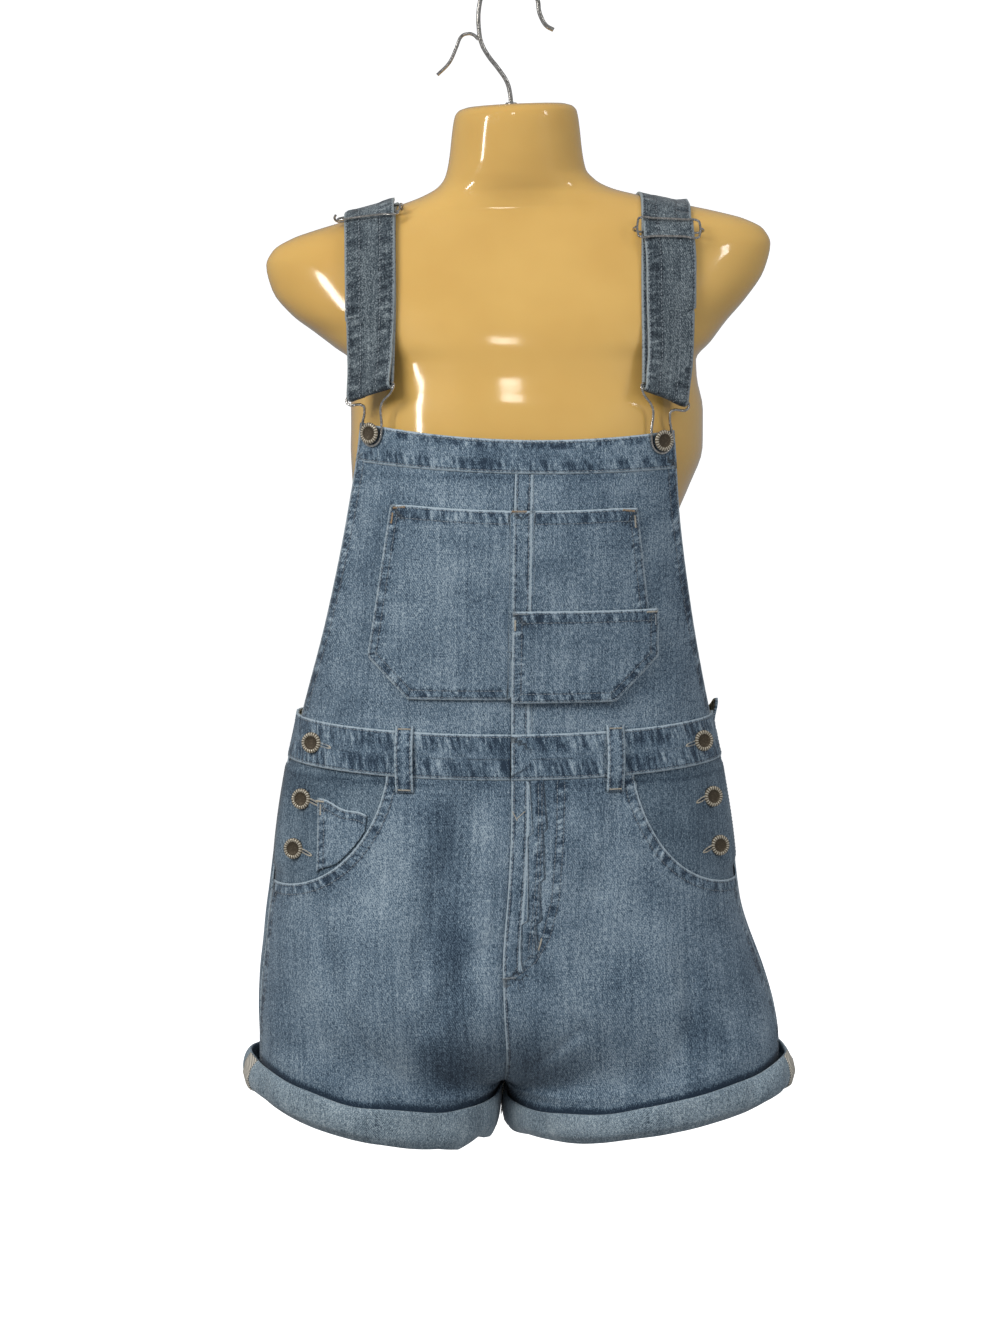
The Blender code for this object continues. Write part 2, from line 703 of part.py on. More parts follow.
def form_reach(origin, direction):
    """Distance from a point inside the torso form to its surface"""
    near, far = 0.0, 0.25
    for _ in range(26):
        middle = 0.5 * (near + far)
        point = origin + direction * middle
        width, front, back, centre, squareness = read(FORM, point.z)
        depth = front if point.y < 0 else back
        inside = (abs(point.x - centre) / width) ** squareness + (abs(point.y) / depth) ** squareness < 1.0
        if inside and FORM[0][0] < point.z < FORM[-1][0]:
            near = middle
        else:
            far = middle
    return near


def strap_base(side, run, across):
    """Point on the strap's body side, kept clear of the form and of the back bib"""
    slant = STRAP_SLANT * across * ease((run - 0.360) / 0.070)
    x, y, z, turn = read(STRAP, run + slant)
    turn = math.radians(turn)
    point = Vector((x + across * math.cos(turn), y + across * math.sin(turn), z))
    heart = Vector((point.x, 0.0, FORM_HEART))
    direction = point - heart
    distance = direction.length
    direction.normalize()
    mirrored = Vector((side * heart.x, heart.y, heart.z))
    reach = form_reach(mirrored, Vector((side * direction.x, direction.y, direction.z)))
    point = heart + direction * max(distance, reach + BODY_GAP)
    if point.y > 0.0 and point.z < 0.66:
        bib_y = on_back(point.x, point.z).y + 0.0009
        point.y = max(point.y, lerp(bib_y, point.y, ease((point.z - 0.615) / 0.040)))
    return point


def strap_point(side, run, across, depth):
    """Point at a depth outward from the strap's body side, in the straight pattern"""
    edge = STRAP_WIDTH / 2.0
    if abs(across) > edge:
        rim = strap_point(side, run, math.copysign(edge, across), depth)
        inner = strap_point(side, run, math.copysign(edge - 0.004, across), depth)
        return rim + (rim - inner) * (abs(across) - edge) / 0.004
    step = 0.0015
    base = strap_base(side, run, across)
    along = strap_base(side, run + step, across) - strap_base(side, run - step, across)
    wide = strap_base(side, run, across + step) - strap_base(side, run, across - step)
    point = base + wide.cross(along).normalized() * -depth
    return Vector((side * point.x, point.y, point.z))


def outer_depth(side, run):
    """How far the strap's returning layer lies outside its first layer's body side"""
    near_bar = max(0.0, 1.0 - abs(STRAP_FOLD - run) / 0.030)
    near_slider = max(0.0, 1.0 - abs(SLIDER_AT[side] - run) / 0.030)
    return lerp(2.0 * WEBBING + 0.0010, 2.0 * BAR_DEPTH, ease(max(near_bar, near_slider)))


def strap(name, side):
    columns = 3
    first_rows = 30
    fold_rows = 6
    back_rows = 11 if side > 0 else 16
    rows = first_rows + fold_rows + back_rows
    end_run = SLIDER_AT[side] - 0.0095

    def place(column, row):
        across = STRAP_WIDTH * (column / columns - 0.5)
        if row <= first_rows:
            return strap_point(side, STRAP_FOLD * row / first_rows, across, 0.0)
        if row <= first_rows + fold_rows:
            turn = math.pi * (row - first_rows) / fold_rows
            centre = strap_point(side, STRAP_FOLD, across, BAR_DEPTH)
            outward = (centre - strap_point(side, STRAP_FOLD, across, 0.0)).normalized()
            down = (strap_point(side, STRAP_FOLD + 0.001, across, BAR_DEPTH) - centre).normalized()
            return centre + (down * math.sin(turn) - outward * math.cos(turn)) * BAR_DEPTH
        run = lerp(STRAP_FOLD, end_run, (row - first_rows - fold_rows) / back_rows)
        return strap_point(side, run, across, outer_depth(side, run))

    return cloth(name, columns, rows, place, WEBBING, "denim", reverse=side < 0)


def buckle(name, side):
    """A bent wire: a wide bar in the strap's fold, a neck and a loop behind the button's head"""
    x, height = BIB_BUTTON
    face_gap = DOUBLED * 0.25 + 0.0004 + BUCKLE_WIRE
    bar_end = STRAP_WIDTH / 2.0 + BUCKLE_WIRE + 0.0007
    bar_inner = strap_point(side, STRAP_FOLD, -bar_end, BAR_DEPTH)
    bar_outer = strap_point(side, STRAP_FOLD, bar_end, BAR_DEPTH)
    points = []
    for index in range(5):
        across = lerp(-bar_end, bar_end, index / 4.0)
        points.append(strap_point(side, STRAP_FOLD, across, BAR_DEPTH))

    def near_button(out, up, climb):
        """A point beside the button, moved toward the bar's plane as it climbs"""
        point = on_front(side * (x + out), height + up, face_gap)
        bar = lerp(bar_inner, bar_outer, (out + bar_end) / (2.0 * bar_end))
        point.y = lerp(point.y, bar.y, climb)
        return point

    reach = 0.0235
    points.append(strap_point(side, STRAP_FOLD + 0.0050, bar_end, BAR_DEPTH))
    points.append(near_button(0.0065, reach - 0.001, 0.75))
    points.append(near_button(0.0055, reach - 0.006, 0.45))
    points.append(near_button(0.0070, 0.0085, 0.15))
    for index in range(7):
        turn = math.radians(180.0 * index / 6.0)
        points.append(near_button(0.0082 * math.cos(turn), 0.0010 - 0.0108 * math.sin(turn), 0.0))
    points.append(near_button(-0.0085, 0.0085, 0.15))
    points.append(near_button(-0.0075, reach - 0.003, 0.55))
    points.append(near_button(-0.0085, reach + 0.002, 0.80))
    points.append(strap_point(side, STRAP_FOLD + 0.0050, -bar_end, BAR_DEPTH))
    return wire(name, [stand(point) for point in points], BUCKLE_WIRE, "wire", True)


def slider(side, label):
    """A wire frame over the strap and a bar behind its returning layer, whose ends clip the frame"""
    run = SLIDER_AT[side]
    half_height, half_width = 0.0075, 0.0233
    depth = 2.0 * BAR_DEPTH + SLIDER_WIRE + 0.0006
    corners = []
    for across, along in ((-1, -1), (-0.5, -1), (0, -1), (0.5, -1), (1, -1), (1.04, -0.75), (1.04, 0.75),
                          (1, 1), (0.5, 1), (0, 1), (-0.5, 1), (-1, 1), (-1.04, 0.75), (-1.04, -0.75)):
        corners.append(stand(strap_point(side, run + along * half_height, across * half_width, depth)))
    wire("slider_frame_" + label, corners, SLIDER_WIRE, "wire", True)
    bar = []
    for across, out in ((-0.0258, 0.0112), (-0.0275, 0.0085), (-0.0262, 0.0055), (-0.0225, BAR_DEPTH),
                        (-0.0120, BAR_DEPTH), (0.0, BAR_DEPTH), (0.0120, BAR_DEPTH), (0.0225, BAR_DEPTH),
                        (0.0262, 0.0055), (0.0275, 0.0085), (0.0258, 0.0112)):
        bar.append(stand(strap_point(side, run, across, out)))
    wire("slider_bar_" + label, bar, SLIDER_WIRE, "wire")


def button(name, side, x, height, seat, shank):
    """A shank button: recessed head with a raised rim, on a post that meets the cloth"""
    profile = ((0.0, shank + 0.0022), (0.0046, shank + 0.0022), (0.0056, shank + 0.0029),
               (0.0076, shank + 0.0026), (BUTTON_RADIUS, shank + 0.0015), (0.0080, shank + 0.0004),
               (0.0034, shank), (0.0034, 0.0003), (0.0, 0.0003))
    mesh = bpy.data.meshes.new(name)
    edges = [(index, index + 1) for index in range(len(profile) - 1)]
    mesh.from_pydata([(radius, 0.0, lift) for radius, lift in profile], edges, [])
    piece = add_object(name, mesh, "button_metal")
    reach = 0.004
    across = stand(on_front(side * x + reach, height, seat)) - stand(on_front(side * x - reach, height, seat))
    upward = stand(on_front(side * x, height + reach, seat)) - stand(on_front(side * x, height - reach, seat))
    piece.location = stand(on_front(side * x, height, seat))
    piece.rotation_mode = "QUATERNION"
    piece.rotation_quaternion = across.cross(upward).to_track_quat("Z", "Y")
    screw = piece.modifiers.new("turn", "SCREW")
    screw.steps = BUTTON_SIDES
    screw.render_steps = BUTTON_SIDES
    screw.use_merge_vertices = True
    screw.merge_threshold = 0.00005


def torso_form():
    """Stacked sections on a sphere's rings, from the flat neck top to the flat underside"""
    levels = [row[0] for row in reversed(FORM)]
    bpy.ops.mesh.primitive_uv_sphere_add(segments=FORM_AROUND, ring_count=len(levels) + 1, radius=1.0)
    piece = bpy.context.object
    piece.name = "torso_form"
    piece.data.name = "torso_form"
    for holder in list(piece.users_collection):
        holder.objects.unlink(piece)
    collection.objects.link(piece)
    piece.parent = hem_line
    piece.data.materials.append(paints["form_plastic"])
    rows = {row[0]: row for row in FORM}
    for vertex in piece.data.vertices:
        ring = round(math.acos(max(-1.0, min(1.0, vertex.co.z))) / math.pi * (len(levels) + 1))
        height = levels[min(max(ring - 1, 0), len(levels) - 1)]
        _, width, front, back, centre, squareness = rows[height]
        if ring in (0, len(levels) + 1):
            vertex.co = stand(Vector((centre, 0.0, height)))
            continue
        angle = math.atan2(vertex.co.x, -vertex.co.y)
        depth = front if abs(angle) < math.pi / 2.0 else back
        x, y, _ = superellipse(abs(angle), width, depth, squareness)
        toward = -1.0 if abs(angle) < math.pi / 2.0 else 1.0
        vertex.co = stand(Vector((centre + math.copysign(x, angle), toward * y, height)))
    piece.data.shade_smooth()


def hanging_hook():
    """Wire from the neck, with a bend to one side, an open bow at the top and a flicked tip"""
    stem = ((-0.0057, 0.8405), (-0.0068, 0.8480), (-0.0090, 0.8560), (-0.0165, 0.8675),
            (-0.0240, 0.8770), (-0.0296, 0.8870), (-0.0318, 0.8980))
    bow_x, bow_z = -0.0075, 0.9130
    bow_width, bow_height = 0.0243, HOOK_TOP + HOOK_WIRE - 0.9130
    points = [Vector((x, 0.0, z)) for x, z in stem]
    for index in range(11):
        turn = math.radians(168.0 - 16.8 * index)
        points.append(Vector((bow_x + bow_width * math.cos(turn), 0.0, bow_z + bow_height * math.sin(turn))))
    points += [Vector((x, 0.0, z)) for x, z in ((0.0185, 0.9080), (0.0225, 0.9015), (0.0285, 0.8980))]
    wire("hanging_hook", points, HOOK_WIRE, "wire")
    prong = ((-0.0333, 0.8930), (-0.0390, 0.8945), (-0.0458, 0.8930), (-0.0500, 0.8840),
             (-0.0557, 0.8720), (-0.0655, 0.8620))
    wire("hook_prong", [Vector((x, 0.0, z)) for x, z in prong], 0.0014, "wire")
    bpy.ops.mesh.primitive_cylinder_add(vertices=20, radius=0.0052, depth=0.0016)
    collar = bpy.context.object
    collar.name = "hook_collar"
    for holder in list(collar.users_collection):
        holder.objects.unlink(collar)
    collection.objects.link(collar)
    collar.parent = hem_line
    collar.location = (stem[0][0], 0.0, 0.8390)
    collar.data.materials.append(paints["wire"])


torso_form()
hanging_hook()
for side, label in ((-1, "left"), (1, "right")):
    shorts_panel("front_" + label, side, -1)
    shorts_panel("back_" + label, side, 1)
    cuff("cuff_" + label, side)
    pocket_facing("pocket_facing_" + label, side)
    waistband_front("waistband_front_" + label, side)
    bib_half("bib_" + label, side)
    strap("strap_" + label, side)
    buckle("buckle_" + label, side)
    slider(side, label)
    button("button_bib_" + label, side, *BIB_BUTTON, DOUBLED * 0.25, 0.0032)
    for number, (x, height) in enumerate(SIDE_BUTTONS, 1):
        seat = DOUBLED * 0.25 if number == 1 else -DENIM - LAYER_GAP
        button(f"button_side_{label}_{number}", side, x, height, seat, 0.0020)
coin_pocket()
waistband_back()
bib_band()
bib_pocket()
pen_pocket()
bib_back()
for number, (x, face) in enumerate(((-0.084, -1), (0.083, -1), (-0.085, 1), (0.0, 1), (0.085, 1)), 1):
    belt_loop(f"belt_loop_{number}", x, face)
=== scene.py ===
"""Denim overall shorts, filled out by a limbless torso form that hangs by a wire hook.

Lengths are metres and +Z is up. Points are first worked out from the hem line of the shorts, straight
and symmetric; stand() then gives them the garment's slight twist and moves them to the row's frame.
"""
import math

import bpy
import numpy as np
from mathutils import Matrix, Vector
from mathutils.bvhtree import BVHTree


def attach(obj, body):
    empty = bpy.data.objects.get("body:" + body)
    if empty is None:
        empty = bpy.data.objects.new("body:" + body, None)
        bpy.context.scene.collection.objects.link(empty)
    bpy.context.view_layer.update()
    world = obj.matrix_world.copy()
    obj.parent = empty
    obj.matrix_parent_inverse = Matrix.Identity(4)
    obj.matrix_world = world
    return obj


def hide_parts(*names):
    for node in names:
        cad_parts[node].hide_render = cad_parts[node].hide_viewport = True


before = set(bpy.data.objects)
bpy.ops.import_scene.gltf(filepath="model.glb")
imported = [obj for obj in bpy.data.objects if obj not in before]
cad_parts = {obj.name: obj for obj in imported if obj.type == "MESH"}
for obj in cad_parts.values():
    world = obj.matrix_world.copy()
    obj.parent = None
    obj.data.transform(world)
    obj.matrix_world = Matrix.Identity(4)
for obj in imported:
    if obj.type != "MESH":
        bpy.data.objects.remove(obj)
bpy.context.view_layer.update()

# The studio: a pale sweep of paper that rises behind the hanging garment, lit by large soft boxes.
# The camera stands 2.9 m away, a little above the middle of the garment, and looks slightly down.
STUDIO_FLOOR = -1.34
SWEEP_FRONT, SWEEP_BACK, SWEEP_RADIUS = -4.5, 6.8, 0.9
SWEEP_LENGTH, SWEEP_HALF_WIDTH = 17.0, 5.0

bpy.context.scene.view_settings.view_transform = "Standard"
bpy.context.scene.view_settings.look = "None"
daylight = bpy.data.worlds.new("daylight")
bpy.context.scene.world = daylight
daylight.use_nodes = True
daylight.node_tree.nodes["Background"].inputs["Color"].default_value = (0.95, 0.97, 1.0, 1.0)
daylight.node_tree.nodes["Background"].inputs["Strength"].default_value = 0.30


def added(operator, name, **sizes):
    """A new primitive, alone in the selection"""
    bpy.ops.object.select_all(action="DESELECT")
    operator(**sizes)
    bpy.context.object.name = name
    return bpy.context.object


sweep = added(bpy.ops.mesh.primitive_grid_add, "paper_sweep", x_subdivisions=2, y_subdivisions=40, size=2.0)
for vertex in sweep.data.vertices:
    run = (vertex.co.y + 1.0) / 2.0 * SWEEP_LENGTH
    flat = SWEEP_BACK - SWEEP_RADIUS - SWEEP_FRONT
    turn = min(max((run - flat) / SWEEP_RADIUS, 0.0), math.pi / 2.0)
    climb = max(run - flat - SWEEP_RADIUS * math.pi / 2.0, 0.0)
    y = SWEEP_FRONT + min(run, flat) + SWEEP_RADIUS * math.sin(turn)
    z = STUDIO_FLOOR + SWEEP_RADIUS * (1.0 - math.cos(turn)) + climb
    vertex.co = (vertex.co.x * SWEEP_HALF_WIDTH, y, z)
sweep.data.shade_smooth()
paper = bpy.data.materials.new("pale_paper")
paper.use_nodes = True
for label, value in (("Base Color", (0.93, 0.93, 0.93, 1.0)), ("Emission Color", (1.0, 1.0, 1.0, 1.0)),
                     ("Emission Strength", 0.75), ("Roughness", 1.0), ("Specular IOR Level", 0.0)):
    paper.node_tree.nodes["Principled BSDF"].inputs[label].default_value = value
sweep.data.materials.append(paper)
sweep.visible_diffuse = False
sweep.visible_glossy = False


def soft_box(name, place, aim, width, height, power, tint, mirrored=False):
    bpy.ops.object.light_add(type="AREA", location=place)
    lamp = bpy.context.object
    lamp.name = name
    lamp.rotation_euler = (Vector(aim) - Vector(place)).to_track_quat("-Z", "Y").to_euler()
    lamp.data.shape = "RECTANGLE"
    lamp.data.size = width
    lamp.data.size_y = height
    lamp.data.energy = power
    lamp.data.color = tint
    lamp.visible_glossy = mirrored


soft_box("key_window", (-1.7, -2.2, 1.2), (0.0, 0.0, -0.35), 1.2, 1.4, 63.0, (1.0, 0.985, 0.96))
soft_box("fill_window", (2.0, -1.9, 0.4), (0.0, 0.0, -0.35), 1.0, 1.4, 21.0, (0.97, 0.985, 1.0))
soft_box("back_window", (0.6, 2.9, 0.9), (0.0, 0.0, -0.35), 1.6, 1.6, 26.0, (0.97, 0.985, 1.0))
soft_box("top_light", (0.1, -0.3, 1.9), (0.0, 0.0, -0.3), 1.6, 1.2, 9.0, (1.0, 1.0, 1.0))
soft_box("window_pane", (-1.50, -1.20, 0.28), (0.0, 0.0, -0.1), 0.13, 0.75, 7.0, (1.0, 0.98, 0.94), True)
soft_box("near_window", (-0.15, -1.77, 0.80), (0.0, -0.1, -0.29), 0.18, 0.17, 1.1, (1.0, 0.97, 0.90), True)
soft_box("far_window", (1.9, -1.4, 1.0), (0.0, 0.0, -0.2), 0.16, 0.45, 2.5, (1.0, 0.99, 0.97), True)

bpy.ops.object.camera_add(location=(-0.0038, -2.9, -0.258), rotation=(math.radians(84.094), 0.0, 0.0))
bpy.context.scene.camera = bpy.context.object
bpy.context.object.data.lens = 95.685

# The torso form: a limbless, glossy plastic shell with a neck stub and shoulder caps, moulded smooth.
# It is laid ring by ring on a sphere, from the flat neck top to the plain flat underside in the shorts.
HANG = Vector((0.011, 0.0, -0.939))
MIDDLE_REACH = 0.215
STANCE = (
    # height, sideways shift, turn in degrees, lean, shift of the middle alone
    (0.000, 0.0010, 2.0, 0.000, -0.0130), (0.075, 0.0010, 2.5, 0.000, -0.0155),
    (0.102, -0.0010, 3.0, 0.000, -0.0165), (0.150, -0.0060, 3.0, 0.000, -0.0135),
    (0.192, -0.0105, 3.0, 0.000, -0.0065), (0.250, -0.0110, 3.0, 0.000, -0.0020),
    (0.305, -0.0110, 2.5, 0.000, 0.0000), (0.342, -0.0110, 2.5, 0.000, 0.0000),
    (0.425, -0.0087, 1.8, 0.000, 0.0000), (0.508, -0.0040, 0.0, -0.012, 0.0000),
    (0.575, 0.0013, -1.9, -0.024, 0.0000), (0.620, 0.0010, -1.0, 0.000, 0.0000),
    (0.700, 0.0000, 0.0, 0.043, 0.0000), (0.850, 0.0000, 0.0, 0.045, 0.0000),
)
FORM = (
    # height, half width, front, back, middle, squareness
    (0.1150, 0.1400, 0.0860, 0.0920, 0.000, 2.4), (0.1165, 0.1490, 0.0940, 0.1000, 0.000, 2.4),
    (0.1300, 0.1520, 0.0960, 0.1030, 0.000, 2.4), (0.1800, 0.1630, 0.1010, 0.1100, 0.000, 2.4),
    (0.2400, 0.1620, 0.1010, 0.1020, 0.000, 2.4), (0.2900, 0.1530, 0.0980, 0.0900, 0.000, 2.4),
    (0.3400, 0.1410, 0.0930, 0.0740, 0.000, 2.4), (0.3800, 0.1270, 0.0900, 0.0660, 0.000, 2.4),
    (0.4200, 0.1180, 0.0890, 0.0620, 0.000, 2.4), (0.4600, 0.1200, 0.0940, 0.0640, 0.000, 2.4),
    (0.5000, 0.1290, 0.1040, 0.0710, 0.002, 2.4), (0.5350, 0.1380, 0.1120, 0.0780, 0.004, 2.4),
    (0.5650, 0.1435, 0.1140, 0.0830, 0.006, 2.4), (0.5950, 0.1435, 0.1090, 0.0870, 0.006, 2.4),
    (0.6200, 0.1395, 0.1010, 0.0890, 0.005, 2.4), (0.6320, 0.1400, 0.0980, 0.0900, 0.004, 2.4),
    (0.6450, 0.1530, 0.0950, 0.0890, 0.003, 2.4), (0.6600, 0.1680, 0.0900, 0.0880, 0.001, 2.3),
    (0.6750, 0.1840, 0.0830, 0.0860, 0.000, 2.3), (0.6970, 0.2000, 0.0720, 0.0800, 0.000, 2.2),
    (0.7180, 0.2050, 0.0610, 0.0730, 0.000, 2.2), (0.7300, 0.1990, 0.0540, 0.0680, 0.000, 2.2),
    (0.7390, 0.1830, 0.0490, 0.0640, 0.000, 2.2), (0.7440, 0.1670, 0.0460, 0.0610, 0.000, 2.2),
    (0.7500, 0.1440, 0.0430, 0.0580, 0.000, 2.2), (0.7560, 0.1180, 0.0410, 0.0550, 0.000, 2.2),
    (0.7620, 0.0960, 0.0405, 0.0530, 0.000, 2.1), (0.7680, 0.0770, 0.0410, 0.0515, -0.001, 2.0),
    (0.7750, 0.0640, 0.0430, 0.0500, -0.001, 2.0), (0.7840, 0.0570, 0.0450, 0.0490, -0.002, 2.0),
    (0.7980, 0.0540, 0.0460, 0.0480, -0.002, 2.0), (0.8200, 0.0515, 0.0455, 0.0465, -0.002, 2.0),
    (0.8310, 0.0495, 0.0440, 0.0450, -0.002, 2.0), (0.8355, 0.0460, 0.0405, 0.0415, -0.002, 2.0),
    (0.8375, 0.0400, 0.0345, 0.0355, -0.002, 2.0),
)


def lerp(first, second, share):
    return first + (second - first) * share


def ease(value):
    value = min(max(value, 0.0), 1.0)
    return value * value * (3.0 - 2.0 * value)


def slope(rows, index, column):
    if index in (0, len(rows) - 1):
        first = 0 if index == 0 else index - 1
        return (rows[first + 1][column] - rows[first][column]) / (rows[first + 1][0] - rows[first][0])
    before = (rows[index][column] - rows[index - 1][column]) / (rows[index][0] - rows[index - 1][0])
    after = (rows[index + 1][column] - rows[index][column]) / (rows[index + 1][0] - rows[index][0])
    return 0.0 if before * after <= 0.0 else 2.0 * before * after / (before + after)


def read(rows, at):
    """All columns of a table at a value of its first column, on smooth curves"""
    at = min(max(at, rows[0][0]), rows[-1][0])
    index = 0
    while index < len(rows) - 2 and at > rows[index + 1][0]:
        index += 1
    low, high = rows[index], rows[index + 1]
    step = high[0] - low[0]
    t = (at - low[0]) / step
    values = []
    for column in range(1, len(low)):
        values.append((2 * t ** 3 - 3 * t ** 2 + 1) * low[column] + (3 * t ** 2 - 2 * t ** 3) * high[column]
                      + (t ** 3 - 2 * t ** 2 + t) * slope(rows, index, column) * step
                      + (t ** 3 - t ** 2) * slope(rows, index + 1, column) * step)
    return values


def stand(point):
    """The straight pattern's point as the garment really hangs, in the row's frame"""
    shift, turn, lean, middle = read(STANCE, point.z)
    turn = math.radians(turn)
    x = point.x * math.cos(turn) - point.y * math.sin(turn)
    y = point.x * math.sin(turn) + point.y * math.cos(turn)
    x += shift + middle * (1.0 - min(1.0, (x / MIDDLE_REACH) ** 2))
    return Vector((x, y, point.z + lean * x)) + HANG


def superellipse(angle, width, depth, squareness):
    """Point and outward direction on one quarter of a rounded section"""
    sine, cosine = math.sin(angle), abs(math.cos(angle))
    x = width * sine ** (2.0 / squareness)
    y = depth * cosine ** (2.0 / squareness)
    outward = Vector(((x / width) ** (squareness - 1.0) / width,
                      (y / depth) ** (squareness - 1.0) / depth)).normalized()
    return x, y, outward


def figure(tree, operation, *values):
    """A math node on numbers or other nodes' sockets, and its result"""
    node = tree.nodes.new("ShaderNodeMath")
    node.operation = operation
    for socket, value in zip(node.inputs, values):
        if isinstance(value, (int, float)):
            socket.default_value = value
        else:
            tree.links.new(value, socket)
    return node.outputs[0]


def grain(tree, vector, scale, detail, rough=0.5):
    """A noise texture's value"""
    node = tree.nodes.new("ShaderNodeTexNoise")
    tree.links.new(vector, node.inputs["Vector"])
    node.inputs["Scale"].default_value = scale
    node.inputs["Detail"].default_value = detail
    node.inputs["Roughness"].default_value = rough
    return node.outputs["Fac"]


def colours(tree, value, *stops):
    """A colour ramp"""
    node = tree.nodes.new("ShaderNodeValToRGB")
    while len(node.color_ramp.elements) < len(stops):
        node.color_ramp.elements.new(0.5)
    for element, (position, colour) in zip(node.color_ramp.elements, stops):
        element.position = position
        element.color = (*colour, 1.0)
    tree.links.new(value, node.inputs["Fac"])
    return node.outputs["Color"]


def new_paint(name):
    paint = bpy.data.materials.new(name)
    paint.use_nodes = True
    return paint, paint.node_tree, paint.node_tree.nodes["Principled BSDF"]


def object_place(tree):
    return tree.nodes.new("ShaderNodeTexCoord").outputs["Object"]


def raise_by(tree, shader, height, distance, strength=1.0):
    """Bump from a height value"""
    bump = tree.nodes.new("ShaderNodeBump")
    bump.inputs["Strength"].default_value = strength
    bump.inputs["Distance"].default_value = distance
    tree.links.new(height, bump.inputs["Height"])
    tree.links.new(bump.outputs["Normal"], shader.inputs["Normal"])


def settle(piece, paint, node=None):
    """Gives a piece its paint and smooth shading, hides the CAD part it stands in for, and hangs it from the root body
    """
    piece.data.shade_smooth()
    piece.data.materials.clear()
    piece.data.materials.append(paint)
    if node:
        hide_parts(node)
    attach(piece, "root")
    return piece


plastic, tree, shader = new_paint("glossy_cream_plastic")
place = object_place(tree)
cloudy = grain(tree, place, 9.0, 3.0)
tree.links.new(colours(tree, cloudy, (0.30, (0.555, 0.335, 0.092)), (0.70, (0.635, 0.402, 0.120))),
               shader.inputs["Base Color"])
smudges = grain(tree, place, 32.0, 4.0, 0.6)
tree.links.new(figure(tree, "MULTIPLY_ADD", smudges, 0.16, 0.04), shader.inputs["Roughness"])
raise_by(tree, shader, grain(tree, place, 26.0, 2.0), 0.0006, 0.5)
shader.inputs["Coat Weight"].default_value = 0.35
shader.inputs["Coat Roughness"].default_value = 0.05
shader.inputs["Subsurface Weight"].default_value = 0.08
shader.inputs["Subsurface Radius"].default_value = (0.012, 0.006, 0.003)

FORM_STEPS = 4
levels = []
for upper, lower in zip(reversed(FORM[1:]), reversed(FORM[:-1])):
    levels += [lerp(upper[0], lower[0], step / FORM_STEPS) for step in range(FORM_STEPS)]
levels.append(FORM[0][0])
moulded_form = added(bpy.ops.mesh.primitive_uv_sphere_add, "moulded_form", segments=108,
                     ring_count=len(levels) + 1, radius=1.0)
for vertex in moulded_form.data.vertices:
    ring = round(math.acos(max(-1.0, min(1.0, vertex.co.z))) / math.pi * (len(levels) + 1))
    height = levels[min(max(ring - 1, 0), len(levels) - 1)]
    width, front, back, centre, squareness = read(FORM, height)
    if ring in (0, len(levels) + 1):
        vertex.co = stand(Vector((centre, 0.0, height)))
        continue
    angle = math.atan2(vertex.co.x, -vertex.co.y)
    facing_front = abs(angle) < math.pi / 2.0
    x, y, _ = superellipse(abs(angle), width, front if facing_front else back, squareness)
    vertex.co = stand(Vector((centre + math.copysign(x, angle), -y if facing_front else y, height)))
settle(moulded_form, plastic, "torso_form")

# The hook: bright plated steel wire, bent to an open bow with a flicked tip, set in the neck through
# a small washer. A second short wire prong is spot-welded to its side.
HOOK_WIRE, PRONG_WIRE = 0.00185, 0.0014
HOOK_TOP, BOW_HEIGHT, BOW_MIDDLE, BOW_RADIUS = 0.939, 0.9130, -0.0075, 0.0243


def bent_wire(name, node, points, radius, closed=False, sides=3):
    """Round plated wire bent smoothly through the points"""
    piece = added(bpy.ops.curve.primitive_bezier_curve_add, name)
    piece.data.splines.clear()
    spline = piece.data.splines.new("BEZIER")
    spline.bezier_points.add(len(points) - 1)
    for target, point in zip(spline.bezier_points, points):
        target.co = point
        target.handle_left_type = target.handle_right_type = "AUTO"
    spline.use_cyclic_u = closed
    piece.data.resolution_u = 5
    piece.data.bevel_depth = radius
    piece.data.bevel_resolution = sides
    piece.data.use_fill_caps = True
    bpy.ops.object.convert(target="MESH")
    return settle(bpy.context.object, nickel, node)


nickel, tree, shader = new_paint("plated_wire")
place = object_place(tree)
dulled = grain(tree, place, 420.0, 3.0, 0.65)
tree.links.new(colours(tree, dulled, (0.32, (0.36, 0.34, 0.31)), (0.62, (0.74, 0.72, 0.69))),
               shader.inputs["Base Color"])
tree.links.new(figure(tree, "MULTIPLY_ADD", dulled, 0.25, 0.12), shader.inputs["Roughness"])
raise_by(tree, shader, grain(tree, place, 1500.0, 2.0), 0.00006)
shader.inputs["Metallic"].default_value = 1.0

stem = [Vector((x, 0.0, z)) + HANG for x, z in (
    (-0.0057, 0.8385), (-0.0068, 0.8480), (-0.0090, 0.8560), (-0.0165, 0.8675), (-0.0240, 0.8770),
    (-0.0296, 0.8870), (-0.0318, 0.8980))]
for index in range(11):
    turn = math.radians(168.0 - 16.8 * index)
    stem.append(Vector((BOW_MIDDLE + BOW_RADIUS * math.cos(turn), 0.0,
                        BOW_HEIGHT + (HOOK_TOP + HOOK_WIRE - BOW_HEIGHT) * math.sin(turn))) + HANG)
stem += [Vector((x, 0.0, z)) + HANG for x, z in ((0.0185, 0.9080), (0.0225, 0.9015), (0.0285, 0.8980))]
bent_wire("hook_wire", "hanging_hook", stem, HOOK_WIRE, sides=5)
prong = [Vector((x, 0.0, z)) + HANG for x, z in (
    (-0.0322, 0.8905), (-0.0370, 0.8945), (-0.0420, 0.8948), (-0.0458, 0.8930), (-0.0500, 0.8840),
    (-0.0557, 0.8720), (-0.0655, 0.8620))]
bent_wire("hook_side_prong", "hook_prong", prong, PRONG_WIRE, sides=4)

